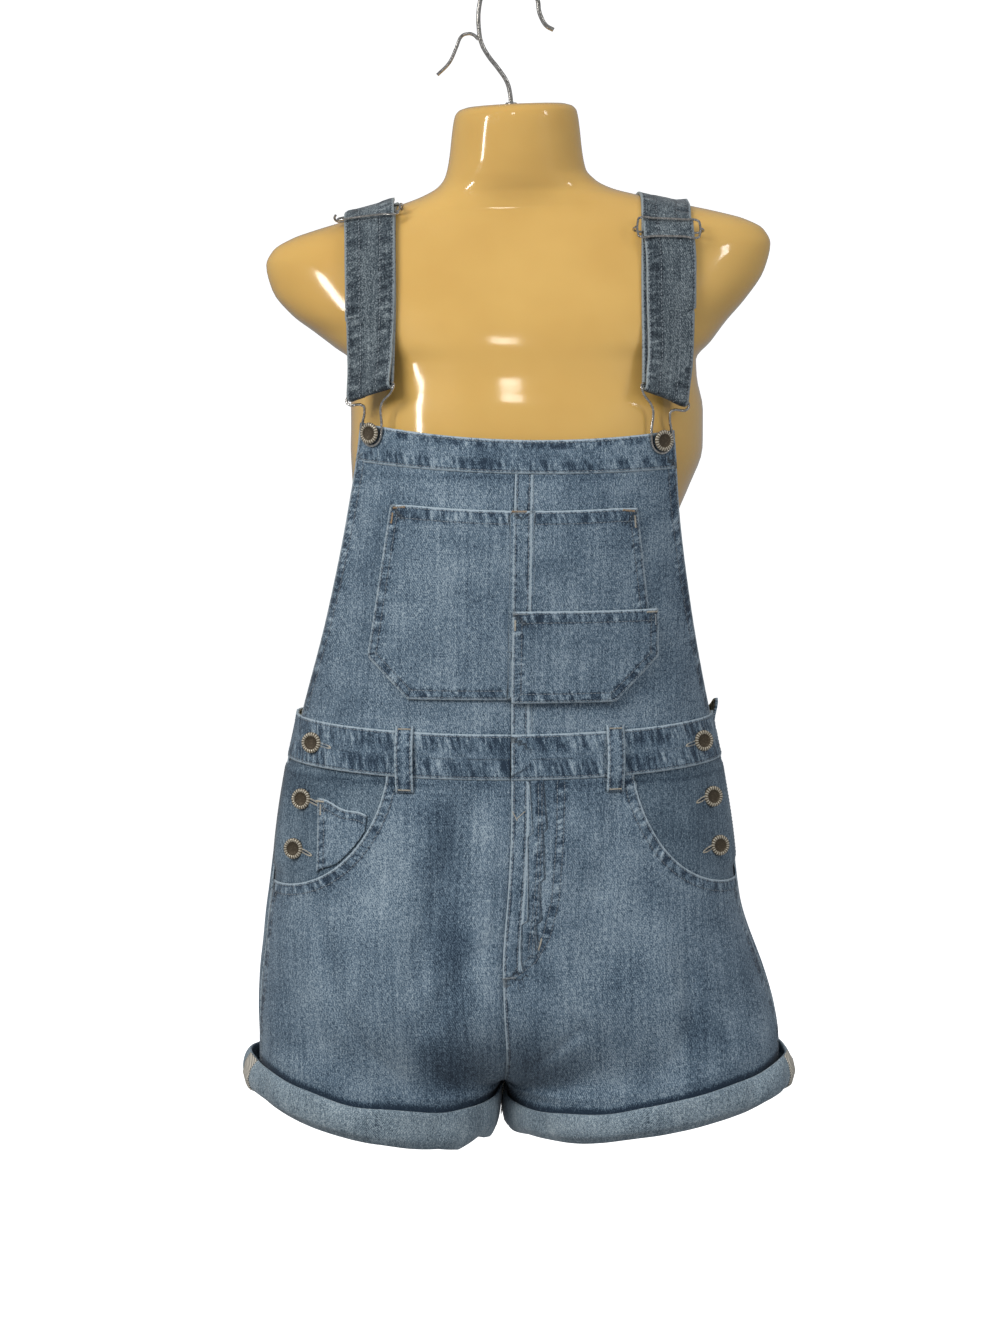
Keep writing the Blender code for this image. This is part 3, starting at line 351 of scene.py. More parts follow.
washer = added(bpy.ops.mesh.primitive_torus_add, "hook_washer", major_segments=40, minor_segments=12,
               major_radius=2.0 * HOOK_WIRE, minor_radius=0.0011, location=Vector((-0.0057, 0.0, 0.8390)) + HANG)
bpy.ops.object.transform_apply(location=True, rotation=True, scale=True)
settle(washer, nickel, "hook_collar")

# The shorts' fronts: two panels of washed twill denim with scooped pocket mouths, joined by a felled
# seam in the middle. Hems are turned twice and sewn with two rows of stitching, which pucker.
DENIM = 0.0012
DOUBLED = 0.0024
SEAM_GAP = 0.0002
LAYER_GAP = 0.0008
SQUARENESS = 2.3
TRUNK = (
    # height, half width, front, back
    (0.040, 0.2150, 0.128, 0.128), (0.075, 0.2145, 0.130, 0.131), (0.125, 0.2085, 0.129, 0.133),
    (0.192, 0.1950, 0.125, 0.130), (0.250, 0.1875, 0.120, 0.119), (0.305, 0.1785, 0.114, 0.103),
    (0.342, 0.1710, 0.112, 0.094), (0.380, 0.1650, 0.113, 0.086), (0.425, 0.1600, 0.116, 0.084),
    (0.508, 0.1550, 0.121, 0.092), (0.575, 0.1550, 0.119, 0.098), (0.640, 0.1550, 0.110, 0.096),
)
FOLDS = (
    # face, x top, z top, x bottom, z bottom, half width, height of the fold
    (-1, -0.052, 0.245, -0.083, 0.050, 0.013, -0.0030), (-1, -0.105, 0.200, -0.150, 0.060, 0.022, 0.0030),
    (-1, 0.060, 0.230, 0.095, 0.060, 0.020, -0.0024), (-1, 0.120, 0.190, 0.155, 0.070, 0.020, 0.0026),
    (-1, -0.012, 0.175, -0.060, 0.110, 0.010, -0.0022), (-1, 0.012, 0.170, 0.055, 0.105, 0.010, -0.0022),
    (1, -0.050, 0.210, -0.095, 0.060, 0.018, -0.0035), (1, 0.050, 0.210, 0.095, 0.060, 0.018, -0.0035),
    (1, -0.110, 0.200, -0.150, 0.080, 0.022, 0.0030), (1, 0.110, 0.200, 0.150, 0.080, 0.022, 0.0030),
    # the soft valley between the legs, drag lines from the crotch, and small dents
    (-1, -0.040, 0.270, -0.046, 0.045, 0.020, -0.0060), (-1, -0.018, 0.260, -0.018, 0.060, 0.009, 0.0022),
    (-1, 0.140, 0.150, 0.160, 0.050, 0.010, -0.0040), (-1, -0.040, 0.292, -0.030, 0.190, 0.012, -0.0016),
    (-1, 0.060, 0.100, 0.020, 0.060, 0.007, -0.0020), (-1, -0.150, 0.190, -0.128, 0.080, 0.009, -0.0018),
    (-1, 0.090, 0.292, 0.075, 0.215, 0.010, -0.0014), (-1, -0.125, 0.470, -0.150, 0.370, 0.010, 0.0016),
    (-1, 0.118, 0.470, 0.138, 0.370, 0.010, 0.0016), (-1, -0.062, 0.362, -0.078, 0.340, 0.016, -0.0012),
    (-1, 0.050, 0.362, 0.062, 0.338, 0.014, -0.0012),
)
LEG_MIDDLE, LEG_OUTER = 0.1085, 0.2150
LEG_FRONT, LEG_BACK = 0.1070, 0.1040
HEM_LIFT = 0.035
CROTCH_RISE = 0.040
INSEAM_OPEN, INSEAM_FLARE = 0.0034, 0.0030
RISE_TOP = {-1: 0.125, 1: 0.165}
LEG_LEVELS = (0.0036, 0.013, 0.024, 0.033, CROTCH_RISE)
SIDE_ANGLE, WAIST_SIDE_ANGLE = 79.0, 86.5
WAIST_BOTTOM, WAIST_HEIGHT, WAIST_CURVE = 0.302, 0.0365, 0.0075
SCOOP_WIDTH, SCOOP_DEPTH = 0.080, 0.0915
STITCH_PITCH = 0.0031
FELLED = 0.0137
UNSEWN = -50.0
SEAM_REACH = 0.026


def fold_height(x, face, height):
    total = 0.0
    for side, x_top, z_top, x_low, z_low, half_width, size in FOLDS:
        along = (z_top - height) / (z_top - z_low)
        if side != face or not -0.2 < along < 1.3:
            continue
        distance = (x - lerp(x_top, x_low, along)) / half_width
        fade = ease((along + 0.2) / 0.4) * ease((1.3 - along) / 0.3)
        total += size * fade * math.exp(-distance * distance)
    return total


def around(side, angle, height, out=0.0):
    """Point of the trunk: angle 0 is the middle front, 90 the side, 180 the middle back"""
    width, front, back = read(TRUNK, height)
    face = -1 if angle < 90.0 else 1
    x, y, outward = superellipse(math.radians(angle), width, front if face < 0 else back, SQUARENESS)
    out += fold_height(side * x, face, height)
    return Vector((side * (x + outward.x * out), face * (y + outward.y * out), height))


def angle_at(x, height, face=-1):
    share = min(abs(x) / read(TRUNK, height)[0], 1.0)
    angle = math.degrees(math.asin(share ** (SQUARENESS / 2.0)))
    return angle if face < 0 else 180.0 - angle


def on_front(x, height, out=0.0):
    return around(-1 if x < 0 else 1, angle_at(x, height), height, out)


def on_back(x, height, out=0.0):
    return around(-1 if x < 0 else 1, angle_at(x, height, 1), height, out)


def hem_height(angle):
    """The hem rises toward the outer side of each leg. Angle 0 is the inseam, 180 the outer side"""
    return HEM_LIFT * ease((angle - 55.0) / 115.0)


def leg(side, face, angle, rise, out=0.0):
    """Point of a leg ring: angle 0 is the inseam, 90 the front or back, 180 the outer side"""
    inner = SEAM_GAP + INSEAM_OPEN * ease((CROTCH_RISE - rise) / 0.007)
    inner += INSEAM_FLARE * ease((0.030 - rise) / 0.030)
    width = LEG_MIDDLE - inner if angle < 90.0 else LEG_OUTER - LEG_MIDDLE
    depth = LEG_FRONT if face < 0 else LEG_BACK
    x, y, outward = superellipse(math.radians(abs(angle - 90.0)), width, depth, SQUARENESS)
    x = LEG_MIDDLE + (-1 if angle < 90.0 else 1) * (x + outward.x * out)
    return Vector((side * x, face * (y + outward.y * out), hem_height(angle) + rise))


def leg_spot(face, share):
    """Face and angle on a leg ring for a share of the way from the inseam to the side seam"""
    angle = (180.0 + (90.0 - SIDE_ANGLE) * 0.9 * face) * share
    return (face, angle) if angle <= 180.0 else (-face, 360.0 - angle)


def waist_line(x, level=0.0):
    return WAIST_BOTTOM + level + WAIST_CURVE * (x / 0.18) ** 2


def side_angle(height):
    return lerp(SIDE_ANGLE, WAIST_SIDE_ANGLE, ease((height - 0.215) / 0.085))


def scoop(turn, grow=0.0):
    """Angle and height on a pocket mouth's edge: turn 0 is at the waistband, 90 at the side"""
    turn = math.radians(turn)
    height = WAIST_BOTTOM - (SCOOP_DEPTH + grow) * math.sin(turn)
    x_side = abs(around(1, side_angle(height), height).x)
    return angle_at(x_side - (SCOOP_WIDTH + grow) * math.cos(turn), height), height


def denim_paint(name, dark, middle, pale, thread, marks=0.43):
    """Washed twill: diagonal lines, slubs, cloudy fading, and stitched grooves along the seams"""
    paint, tree, shader = new_paint(name)
    cloth_map = tree.nodes.new("ShaderNodeUVMap")
    cloth_map.uv_map = "cloth"

    def threads_along(width, length):
        stretched = tree.nodes.new("ShaderNodeMapping")
        stretched.inputs["Scale"].default_value = (1.0 / width, 1.0 / length, 1.0)
        tree.links.new(cloth_map.outputs["UV"], stretched.inputs["Vector"])
        return stretched.outputs["Vector"]

    split = tree.nodes.new("ShaderNodeSeparateXYZ")
    tree.links.new(cloth_map.outputs["UV"], split.inputs["Vector"])
    across, up = split.outputs["X"], split.outputs["Y"]
    slant = figure(tree, "SUBTRACT", figure(tree, "MULTIPLY", across, 0.89 * 5000.0),
                   figure(tree, "MULTIPLY", up, 0.45 * 5000.0))
    twill = figure(tree, "SINE", slant)
    slubs = grain(tree, threads_along(0.0013, 0.0036), 1.0, 2.0, 0.6)
    streaks = grain(tree, threads_along(0.0034, 0.0600), 1.0, 2.0, 0.5)
    specks = grain(tree, cloth_map.outputs["UV"], 880.0, 1.0, 0.5)
    wash = grain(tree, cloth_map.outputs["UV"], 26.0, 5.0, 0.55)

    def attribute(label):
        node = tree.nodes.new("ShaderNodeAttribute")
        node.attribute_name = label
        parts = tree.nodes.new("ShaderNodeSeparateXYZ")
        tree.links.new(node.outputs["Vector"], parts.inputs["Vector"])
        return parts.outputs["X"], parts.outputs["Y"], parts.outputs["Z"]

    along, away, strength = attribute("seam")
    first, second, reach = attribute("stitch")
    wear_and_shade = tree.nodes.new("ShaderNodeAttribute")
    wear_and_shade.attribute_name = "wear_and_shade"

    def held(value, low, high):
        return figure(tree, "MINIMUM", figure(tree, "MAXIMUM", value, low), high)

    def layered(value, *shares):
        """Adds each texture to a value by its weight"""
        for texture, weight in shares:
            value = figure(tree, "MULTIPLY_ADD", texture, weight, value)
        return value

    def groove(offset, half_width):
        gap = figure(tree, "ABSOLUTE", figure(tree, "SUBTRACT", away, offset))
        line = figure(tree, "SUBTRACT", 1.0, figure(tree, "DIVIDE", gap, half_width))
        return figure(tree, "MULTIPLY", figure(tree, "MAXIMUM", line, 0.0), strength)

    grooves = figure(tree, "MAXIMUM", groove(first, 1.1), groove(second, 1.1))
    dashes = figure(tree, "SINE", figure(tree, "MULTIPLY", along, math.tau / (STITCH_PITCH * 1000.0)))
    dashes = held(figure(tree, "MULTIPLY_ADD", dashes, 1.6, 0.9), 0.0, 1.0)
    threads = figure(tree, "MAXIMUM", groove(first, 0.5), groove(second, 0.5))
    threads = figure(tree, "MULTIPLY", threads, dashes)
    edged = held(figure(tree, "SUBTRACT", first, 1.0), 0.0, 1.0)
    fold_edge = figure(tree, "MULTIPLY", groove(0.5, 1.7), edged)
    halfway = figure(tree, "MULTIPLY", figure(tree, "ADD", first, figure(tree, "MAXIMUM", first, second)), 0.5)
    gap = figure(tree, "DIVIDE", figure(tree, "ABSOLUTE", figure(tree, "SUBTRACT", away, halfway)), reach)
    hem = figure(tree, "MULTIPLY", figure(tree, "MAXIMUM", figure(tree, "SUBTRACT", 1.0, gap), 0.0), 2.2)
    hem = figure(tree, "MULTIPLY", figure(tree, "MINIMUM", hem, 1.0), strength)
    creases = tree.nodes.new("ShaderNodeCombineXYZ")
    tree.links.new(figure(tree, "ADD", figure(tree, "MULTIPLY", along, 1.0 / 4.4),
                          figure(tree, "MULTIPLY", away, 1.0 / 19.0)), creases.inputs["X"])
    tree.links.new(figure(tree, "DIVIDE", away, figure(tree, "MULTIPLY_ADD", reach, 1.8, 2.0)), creases.inputs["Y"])
    tree.links.new(figure(tree, "MULTIPLY", first, 3.1), creases.inputs["Z"])
    ropes = grain(tree, creases.outputs["Vector"], 1.0, 2.5, 0.6)
    ropes = figure(tree, "MULTIPLY", figure(tree, "SUBTRACT", ropes, 0.50), 5.0)
    ropes = figure(tree, "MULTIPLY", held(ropes, -1.0, 1.0), hem)

    tone = figure(tree, "MULTIPLY_ADD", twill, 0.13, 0.5)
    for value, weight in ((slubs, 1.15), (streaks, 0.44), (specks, 1.20), (wash, 0.66)):
        tone = figure(tree, "MULTIPLY_ADD", figure(tree, "SUBTRACT", value, 0.5), weight, tone)
    # The per-point attribute read here carries the puckers' wear and wash marks, and also painted shade and painted
    # highlights: the hollows, the lines under the bands and above the cuffs.
    tone = layered(tone, (wear_and_shade.outputs["Fac"], 0.30), (ropes, marks), (hem, -0.09), (grooves, -0.38),
                   (fold_edge, 0.78))
    cloth_colour = colours(tree, tone, (0.08, dark), (0.50, middle), (0.92, pale))
    mix = tree.nodes.new("ShaderNodeMix")
    mix.data_type = "RGBA"
    tree.links.new(figure(tree, "MULTIPLY", threads, 0.55), mix.inputs[0])
    tree.links.new(cloth_colour, mix.inputs[6])
    mix.inputs[7].default_value = (*thread, 1.0)
    tree.links.new(mix.outputs[2], shader.inputs["Base Color"])

    relief = layered(figure(tree, "MULTIPLY", slubs, 0.22), (twill, 0.050), (specks, 0.16), (ropes, 0.50),
                     (grooves, -0.32), (threads, 0.30))
    raise_by(tree, shader, relief, 0.001)
    for label, value in (("Roughness", 0.88), ("Specular IOR Level", 0.22), ("Sheen Weight", 0.12),
                         ("Sheen Roughness", 0.5)):
        shader.inputs[label].default_value = value
    return paint


def thread_paint(name, scale, dark, pale, roughness, pale_at=0.7):
    """Plain thread, mottled by a fine noise"""
    paint, tree, shader = new_paint(name)
    mottle = grain(tree, object_place(tree), scale, 2.0)
    tree.links.new(colours(tree, mottle, (0.3, dark), (pale_at, pale)), shader.inputs["Base Color"])
    shader.inputs["Roughness"].default_value = roughness
    return paint


THREAD = (0.300, 0.345, 0.380)
blue_denim = denim_paint("washed_denim", (0.022, 0.038, 0.062), (0.112, 0.168, 0.228), (0.335, 0.410, 0.470),
                         THREAD)
sewing_thread = thread_paint("sewing_thread", 900.0, (0.20, 0.24, 0.28), THREAD, 0.7)


def route(place, start, end, count=60):
    """Points along a straight line on a piece's grid, as laid in the garment"""
    return [stand(place(lerp(start[0], end[0], step / count), lerp(start[1], end[1], step / count)))
            for step in range(count + 1)]


def seam(points, first, second, rope=0.35, raised=0.25, width=None, reach=None, within=False):
    """Stitched seam along an edge, or within a piece and measured to the left of its run, in millimetres"""
    line = np.array([tuple(point) for point in points])
    keep = np.concatenate([[True], np.linalg.norm(np.diff(line, axis=0), axis=1) > 1e-6])
    return {"line": line[keep], "within": within, "first": first, "second": second, "rope": rope, "raised": raised,
            "width": width if width is not None else second + 1.6,
            "reach": reach if reach is not None else max(second - first, 0.0) / 2.0 + 3.5}


def sewn(place, start, end, count, *numbers, **options):
    """Stitched seam along a straight line on a piece's grid"""
    return seam(route(place, start, end, count), *numbers, **options)


def measure_seams(spots, normals, seams):
    """For each spot, the nearest seam: run along it, signed distance, strength and its numbers"""
    count = len(spots)
    result = np.tile((0.0, 999.0, 0.0, UNSEWN, UNSEWN, 0.0, 0.0, 0.0, 3.0), (count, 1))
    nearest_gap = np.full(count, 1e9)
    for stitched in seams:
        line = stitched["line"]
        steps = np.diff(line, axis=0)
        lengths = np.linalg.norm(steps, axis=1)
        runs = np.concatenate([[0.0], np.cumsum(lengths)])
        delta = spots[:, None, :] - line[None, :-1, :]
        share = np.einsum("nsk,sk->ns", delta, steps) / lengths ** 2
        held = np.clip(share, 0.0, 1.0)
        gaps = np.linalg.norm(delta - held[:, :, None] * steps[None, :, :], axis=2)
        index = np.argmin(gaps, axis=1)
        rows = np.arange(count)
        gap, free, inside = gaps[rows, index], share[rows, index], held[rows, index]
        tangent = steps[index] / lengths[index][:, None]
        left = np.cross(normals, tangent)
        offset = np.einsum("nk,nk->n", delta[rows, index] - inside[:, None] * steps[index], left)
        overrun = np.abs(free - inside) * lengths[index]
        gap = np.where((offset < -SEAM_REACH / 10.0) | (gap > SEAM_REACH), 1.0, gap)
        closer = gap < np.minimum(nearest_gap, 0.9)
        nearest_gap = np.where(closer, gap, nearest_gap)
        found = np.stack([
            (runs[index] + inside * lengths[index]) * 1000.0, np.sign(offset) * gap * 1000.0,
            np.clip(1.0 - overrun / 0.003, 0.0, 1.0)]
            + [np.full(count, stitched[label]) for label in ("first", "second", "rope", "raised", "width", "reach")],
            axis=1)
        result[closer] = found[closer]
    return result


def face_piece(spots, normals, stitched):
    """Runs an edge's seam so that the piece lies left of it, seen from outside"""
    line = stitched["line"]
    lean = 0.0
    for at in range(1, len(line) - 1, 4):
        gaps = spots - line[at]
        near = np.linalg.norm(gaps, axis=1) < 0.0052
        lean += np.einsum("nk,nk->", gaps[near], np.cross(normals[near], line[at + 1] - line[at - 1]))
    return dict(stitched, line=line[::-1]) if lean < 0.0 and not stitched["within"] else stitched


def swell(value, low, high):
    share = np.clip((value - low) / (high - low), 0.0, 1.0)
    return share * share * (3.0 - 2.0 * share)


def pucker(measured):
    """Wavy height of the cloth beside a sewn hem, from -1 to 1, strongest between its stitch rows"""
    along, away, strength, first, second = measured[:, :5].T
    middle = (first + np.maximum(first, second)) / 2.0
    window = swell(1.0 - np.abs(away - middle) / measured[:, 8], 0.0, 0.8) * (first > UNSEWN)
    wave = np.sin(math.tau * (along / 9.3 + away / 21.0) + 1.9 * np.sin(along / 23.0))
    wave += 0.7 * np.sin(math.tau * (along / 14.7 - away / 26.0) + 1.7)
    wave += 0.45 * np.sin(math.tau * along / 6.1 + 1.2 * np.sin(along / 9.0))
    return window * strength * wave / 1.7


# Partly washing marks, partly painted light: the dark marks in the hollows between the legs and the thin ones just
# under the waistband and the bib band are painted shade, the pale ones on the ridges beside them painted highlights.
SHADE_AND_WASH_BLOTCHES = (
    # x, height, half width, half height, paler + or darker -
    (0.020, 0.290, 0.030, 0.010, -0.55), (-0.056, 0.255, 0.018, 0.045, -0.55), (-0.041, 0.160, 0.018, 0.075, -0.80),
    (-0.048, 0.070, 0.026, 0.036, -0.75), (0.022, 0.075, 0.014, 0.040, -0.40), (-0.092, 0.215, 0.030, 0.050, 0.40),
    (-0.018, 0.170, 0.009, 0.085, 0.55), (-0.080, 0.080, 0.010, 0.040, 0.40), (0.155, 0.085, 0.010, 0.035, -0.55),
    (0.135, 0.075, 0.010, 0.030, 0.25), (0.000, 0.2985, 0.300, 0.0022, -0.70), (0.000, 0.5425, 0.120, 0.0020, -0.60),
    (-0.120, 0.120, 0.045, 0.060, 0.12), (0.075, 0.200, 0.040, 0.060, 0.22), (0.110, 0.110, 0.040, 0.050, 0.10),
    (-0.084, 0.515, 0.016, 0.010, -0.45), (0.090, 0.510, 0.012, 0.012, -0.35), (-0.105, 0.440, 0.010, 0.060, -0.35),
    (0.018, 0.425, 0.012, 0.014, -0.55), (0.045, 0.400, 0.030, 0.020, 0.18), (-0.045, 0.450, 0.045, 0.045, 0.12),
    (-0.014, 0.560, 0.010, 0.016, -0.60), (0.030, 0.560, 0.012, 0.016, -0.60), (-0.060, 0.560, 0.030, 0.012, 0.15),
    (0.000, 0.325, 0.006, 0.016, -0.50), (0.030, 0.322, 0.012, 0.014, -0.55), (-0.130, 0.322, 0.030, 0.012, -0.40),
    (-0.170, 0.290, 0.020, 0.012, -0.50), (0.140, 0.290, 0.018, 0.012, -0.35), (-0.060, 0.345, 0.080, 0.008, 0.25),
    (0.060, 0.345, 0.070, 0.008, 0.25), (0.010, 0.150, 0.012, 0.012, -0.50), (-0.150, 0.440, 0.014, 0.100, -0.20),
    (0.150, 0.440, 0.014, 0.100, -0.25), (0.170, 0.120, 0.020, 0.050, -0.22), (-0.185, 0.120, 0.016, 0.060, -0.18),
)


def fade(spots):
    """Broad marks on the front, partly from washing and partly painted light: paler where cloth rubs, darker beside
    seams, painted shade in the hollows with painted highlights on the ridges beside them, and thin painted shadow
    lines under the waistband and the bib band
    """
    total = np.zeros(len(spots))
    for x, height, wide, tall, amount in SHADE_AND_WASH_BLOTCHES:
        across = (spots[:, 0] - x) / wide
        upward = (spots[:, 2] + HOOK_TOP - height) / tall
        total += amount * np.exp(-across ** 2 - upward ** 2)
    return total * (spots[:, 1] < 0.0)


def thread_mesh(name, spots, faces, paint):
    mesh = bpy.data.meshes.new(name)
    mesh.from_pydata([tuple(spot) for spot in spots], [], faces)
    piece = bpy.data.objects.new(name, mesh)
    bpy.context.scene.collection.objects.link(piece)
    return settle(piece, paint)


def stitch_row(name, surface, seams):
    """Small thread loops sunk in the cloth along each stitched line"""
    spots, faces = [], []
    for stitched in seams:
        line = stitched["line"]
        runs = np.concatenate([[0.0], np.cumsum(np.linalg.norm(np.diff(line, axis=0), axis=1))])
        for offset in {stitched["first"], stitched["second"]}:
            if offset == UNSEWN:
                continue
            for index in range(int(runs[-1] / STITCH_PITCH)):
                at = (index + 0.5) * STITCH_PITCH
                here = Vector([np.interp(at, runs, line[:, axis]) for axis in range(3)])
                ahead = Vector([np.interp(min(at + 0.001, runs[-1]), runs, line[:, axis]) for axis in range(3)])
                behind = Vector([np.interp(max(at - 0.001, 0.0), runs, line[:, axis]) for axis in range(3)])
                _, normal, _, _ = surface.find_nearest(here)
                if normal is None:
                    continue
                tangent = (ahead - behind).normalized()
                spot, normal, _, _ = surface.find_nearest(here + normal.cross(tangent) * offset * 0.001)
                tangent = (tangent - normal * tangent.dot(normal)).normalized()
                wide = normal.cross(tangent)
                base = len(spots)
                spots += [spot + tangent * 0.00125 - normal * 0.0001, spot - tangent * 0.00125 - normal * 0.0001,
                          spot + wide * 0.00032, spot - wide * 0.00032, spot + normal * 0.00034]
                faces += [(base + 4, base, base + 2), (base + 4, base + 2, base + 1),
                          (base + 4, base + 1, base + 3), (base + 4, base + 3, base)]
    return thread_mesh(name, spots, faces, sewing_thread) if faces else None


def thicken(piece, wall):
    """Gives a sheet its wall, inward from its outer face"""
    solid = piece.modifiers.new("wall", "SOLIDIFY")
    solid.thickness = wall
    solid.offset = -1.0
    bpy.context.view_layer.objects.active = piece
    bpy.ops.object.modifier_apply(modifier="wall")


def finish_cloth(piece, outline, node, wall, paint, seams):
    """Marks and puckers the seams, gives the cloth its wall, and hides the CAD part it stands in for"""
    mesh = piece.data
    count = len(mesh.vertices)
    spots = np.zeros(count * 3)
    mesh.vertices.foreach_get("co", spots)
    spots = spots.reshape(-1, 3)
    normals = np.zeros(count * 3)
    mesh.vertex_normals.foreach_get("vector", normals)
    normals = normals.reshape(-1, 3)
    seams = [face_piece(spots, normals, stitched) for stitched in seams]
    measured = measure_seams(spots, normals, seams) if seams else np.zeros((count, 9))
    waves = pucker(measured) if seams else np.zeros(count)
    height = waves * measured[:, 5]
    away, width = measured[:, 1], np.maximum(measured[:, 7], 0.5)
    plateau = swell(away, -0.6, 0.9) * (1.0 - swell(away, width - 0.6, width + 1.0)) * measured[:, 2]
    height = height + plateau * measured[:, 6]
    spots = spots + normals * height[:, None] * 0.001
    mesh.vertices.foreach_set("co", spots.ravel())
    mesh.update()
    for label, values in (("seam", measured[:, 0:3]), ("stitch", measured[:, [3, 4, 8]])):
        layer = mesh.attributes.new(label, "FLOAT_VECTOR", "POINT")
        layer.data.foreach_set("vector", values.astype(np.float32).ravel())
    # Puckers' wear plus fade(): wash marks together with painted shade and painted highlights.
    layer = mesh.attributes.new("wear_and_shade", "FLOAT", "POINT")
    layer.data.foreach_set("value", (0.3 * waves + fade(spots)).astype(np.float32))
    surface = BVHTree.FromPolygons([tuple(spot) for spot in spots], [tuple(face.vertices) for face in mesh.polygons])
    sewing = stitch_row("stitching_" + piece.name, surface, seams)
    if wall:
        thicken(piece, wall)
    settle(piece, paint, node)
    width, length, area = outline


QUARTER = [superellipse(math.radians(turn), 1.0, 0.6, SQUARENESS)[:2] for turn in range(91)]
QUARTER_RUN = np.concatenate([[0.0], np.cumsum([math.dist(*pair) for pair in zip(QUARTER[:-1], QUARTER[1:])])])


def upright_yarn(point):
    """Place in the cloth where the warp hangs straight down the trunk: run around it, and height"""
    width = read(TRUNK, point.z)[0]
    share = min(abs(point.x) / width, 1.0)
    run = width * float(np.interp(share, [x for x, _ in QUARTER], QUARTER_RUN))
    beside = width * QUARTER_RUN[-1] - abs(point.y)
    return math.copysign(lerp(run, beside, ease((share - 0.80) / 0.14)), point.x), point.z


def lay_cloth(name, columns, rows, place, reverse=None, heart=(0.011, 0.0), upright=True):
    """A grid laid on the piece's outer face. Returns it, and its cut width, length and flat area"""
    piece = added(bpy.ops.mesh.primitive_grid_add, name, x_subdivisions=columns, y_subdivisions=rows, size=2.0)
    mesh = piece.data
    spots = np.zeros((columns + 1, rows + 1, 3))
    cells, yarns = [], []
    for vertex in mesh.vertices:
        column = round((vertex.co.x + 1.0) / 2.0 * columns)
        row = round((vertex.co.y + 1.0) / 2.0 * rows)
        cells.append((column, row))
        straight = place(column / columns, row / rows)
        yarns.append(upright_yarn(straight) if upright else None)
        vertex.co = stand(straight)
        spots[column, row] = vertex.co
    mesh.update()
    outward = sum(face.area * (face.normal.x * (face.center.x - heart[0])
                               + face.normal.y * (face.center.y - heart[1])) for face in mesh.polygons)
    if reverse if reverse is not None else outward < 0.0:
        mesh.flip_normals()
    run_across = np.cumsum(np.linalg.norm(np.diff(spots, axis=0, prepend=spots[:1]), axis=2), axis=0)
    run_upward = np.cumsum(np.linalg.norm(np.diff(spots, axis=1, prepend=spots[:, :1]), axis=2), axis=1)
    middle = run_across[columns // 2]
    layer = mesh.uv_layers.new(name="cloth")
    for loop in mesh.loops:
        column, row = cells[loop.vertex_index]
        layer.data[loop.index].uv = (yarns[loop.vertex_index] if upright else
                                     (run_across[column, row] - middle[row], run_upward[column, row]))
    area = sum(face.area for face in mesh.polygons)
    width, length = float(run_across[-1].max()), float(run_upward[:, -1].max())
    return piece, (width, max(length, area / width * 1.0005), area)


PANEL_STEPS, RISE_STEPS, UPPER_STEPS = 4, 6, 9
TUCK = 0.0012
SCOOP_SHARE = 6.0 / 14.0


def shorts_place(side, face):
    def place(share, climb):
        step = climb * (PANEL_STEPS + RISE_STEPS + UPPER_STEPS)
        leg_face, leg_angle = leg_spot(face, share)
        trunk_angle = lerp(0.0 if face < 0 else 180.0, SIDE_ANGLE, share)
        low = hem_height(leg_angle) + CROTCH_RISE
        high = RISE_TOP[face] + (0.5 * hem_height(leg_angle) if face < 0 else 0.0)
        if step <= PANEL_STEPS:
            index = min(int(step), PANEL_STEPS - 1)
            rise = lerp(LEG_LEVELS[index], LEG_LEVELS[index + 1], step - index)
            point = leg(side, leg_face, leg_angle, rise)
        elif step <= PANEL_STEPS + RISE_STEPS:
            swing = 90.0 * (1.0 - (step - PANEL_STEPS) / RISE_STEPS)
            blend = 1.0 - math.cos(math.radians(swing))
            drop = lerp(math.sin(math.radians(swing)), swing / 90.0, ease(share * 1.6))
            height = lerp(high, low, drop)
            point = lerp(around(side, trunk_angle, height), leg(side, leg_face, leg_angle, CROTCH_RISE), blend)
            point.z = height
        else:
            if face > 0:
                angle = lerp(180.0, WAIST_SIDE_ANGLE, share)
                top = waist_line(around(1, angle, WAIST_BOTTOM).x) + TUCK
            elif share <= SCOOP_SHARE:
                x = (around(1, side_angle(WAIST_BOTTOM), WAIST_BOTTOM).x - SCOOP_WIDTH) * share / SCOOP_SHARE
                angle, top = angle_at(x, WAIST_BOTTOM), waist_line(x) + TUCK
            else:
                angle, top = scoop(90.0 * (share - SCOOP_SHARE) / (1.0 - SCOOP_SHARE))
            climbed = (step - PANEL_STEPS - RISE_STEPS) / UPPER_STEPS
            point = around(side, lerp(trunk_angle, angle, climbed), lerp(high, top, climbed))
        point.x += side * SEAM_GAP if side > 0 or share > 0.0 else TUCK
        point.y += face * SEAM_GAP
        return point

    return place


def front_line(*points):
    """A line on the trunk's front through places given as x and height"""
    spots = []
    for (x_from, z_from), (x_to, z_to) in zip(points[:-1], points[1:]):
        spots += [stand(on_front(lerp(x_from, x_to, step / 12), lerp(z_from, z_to, step / 12)))
                  for step in range(12)]
    return spots + [stand(on_front(*points[-1]))]


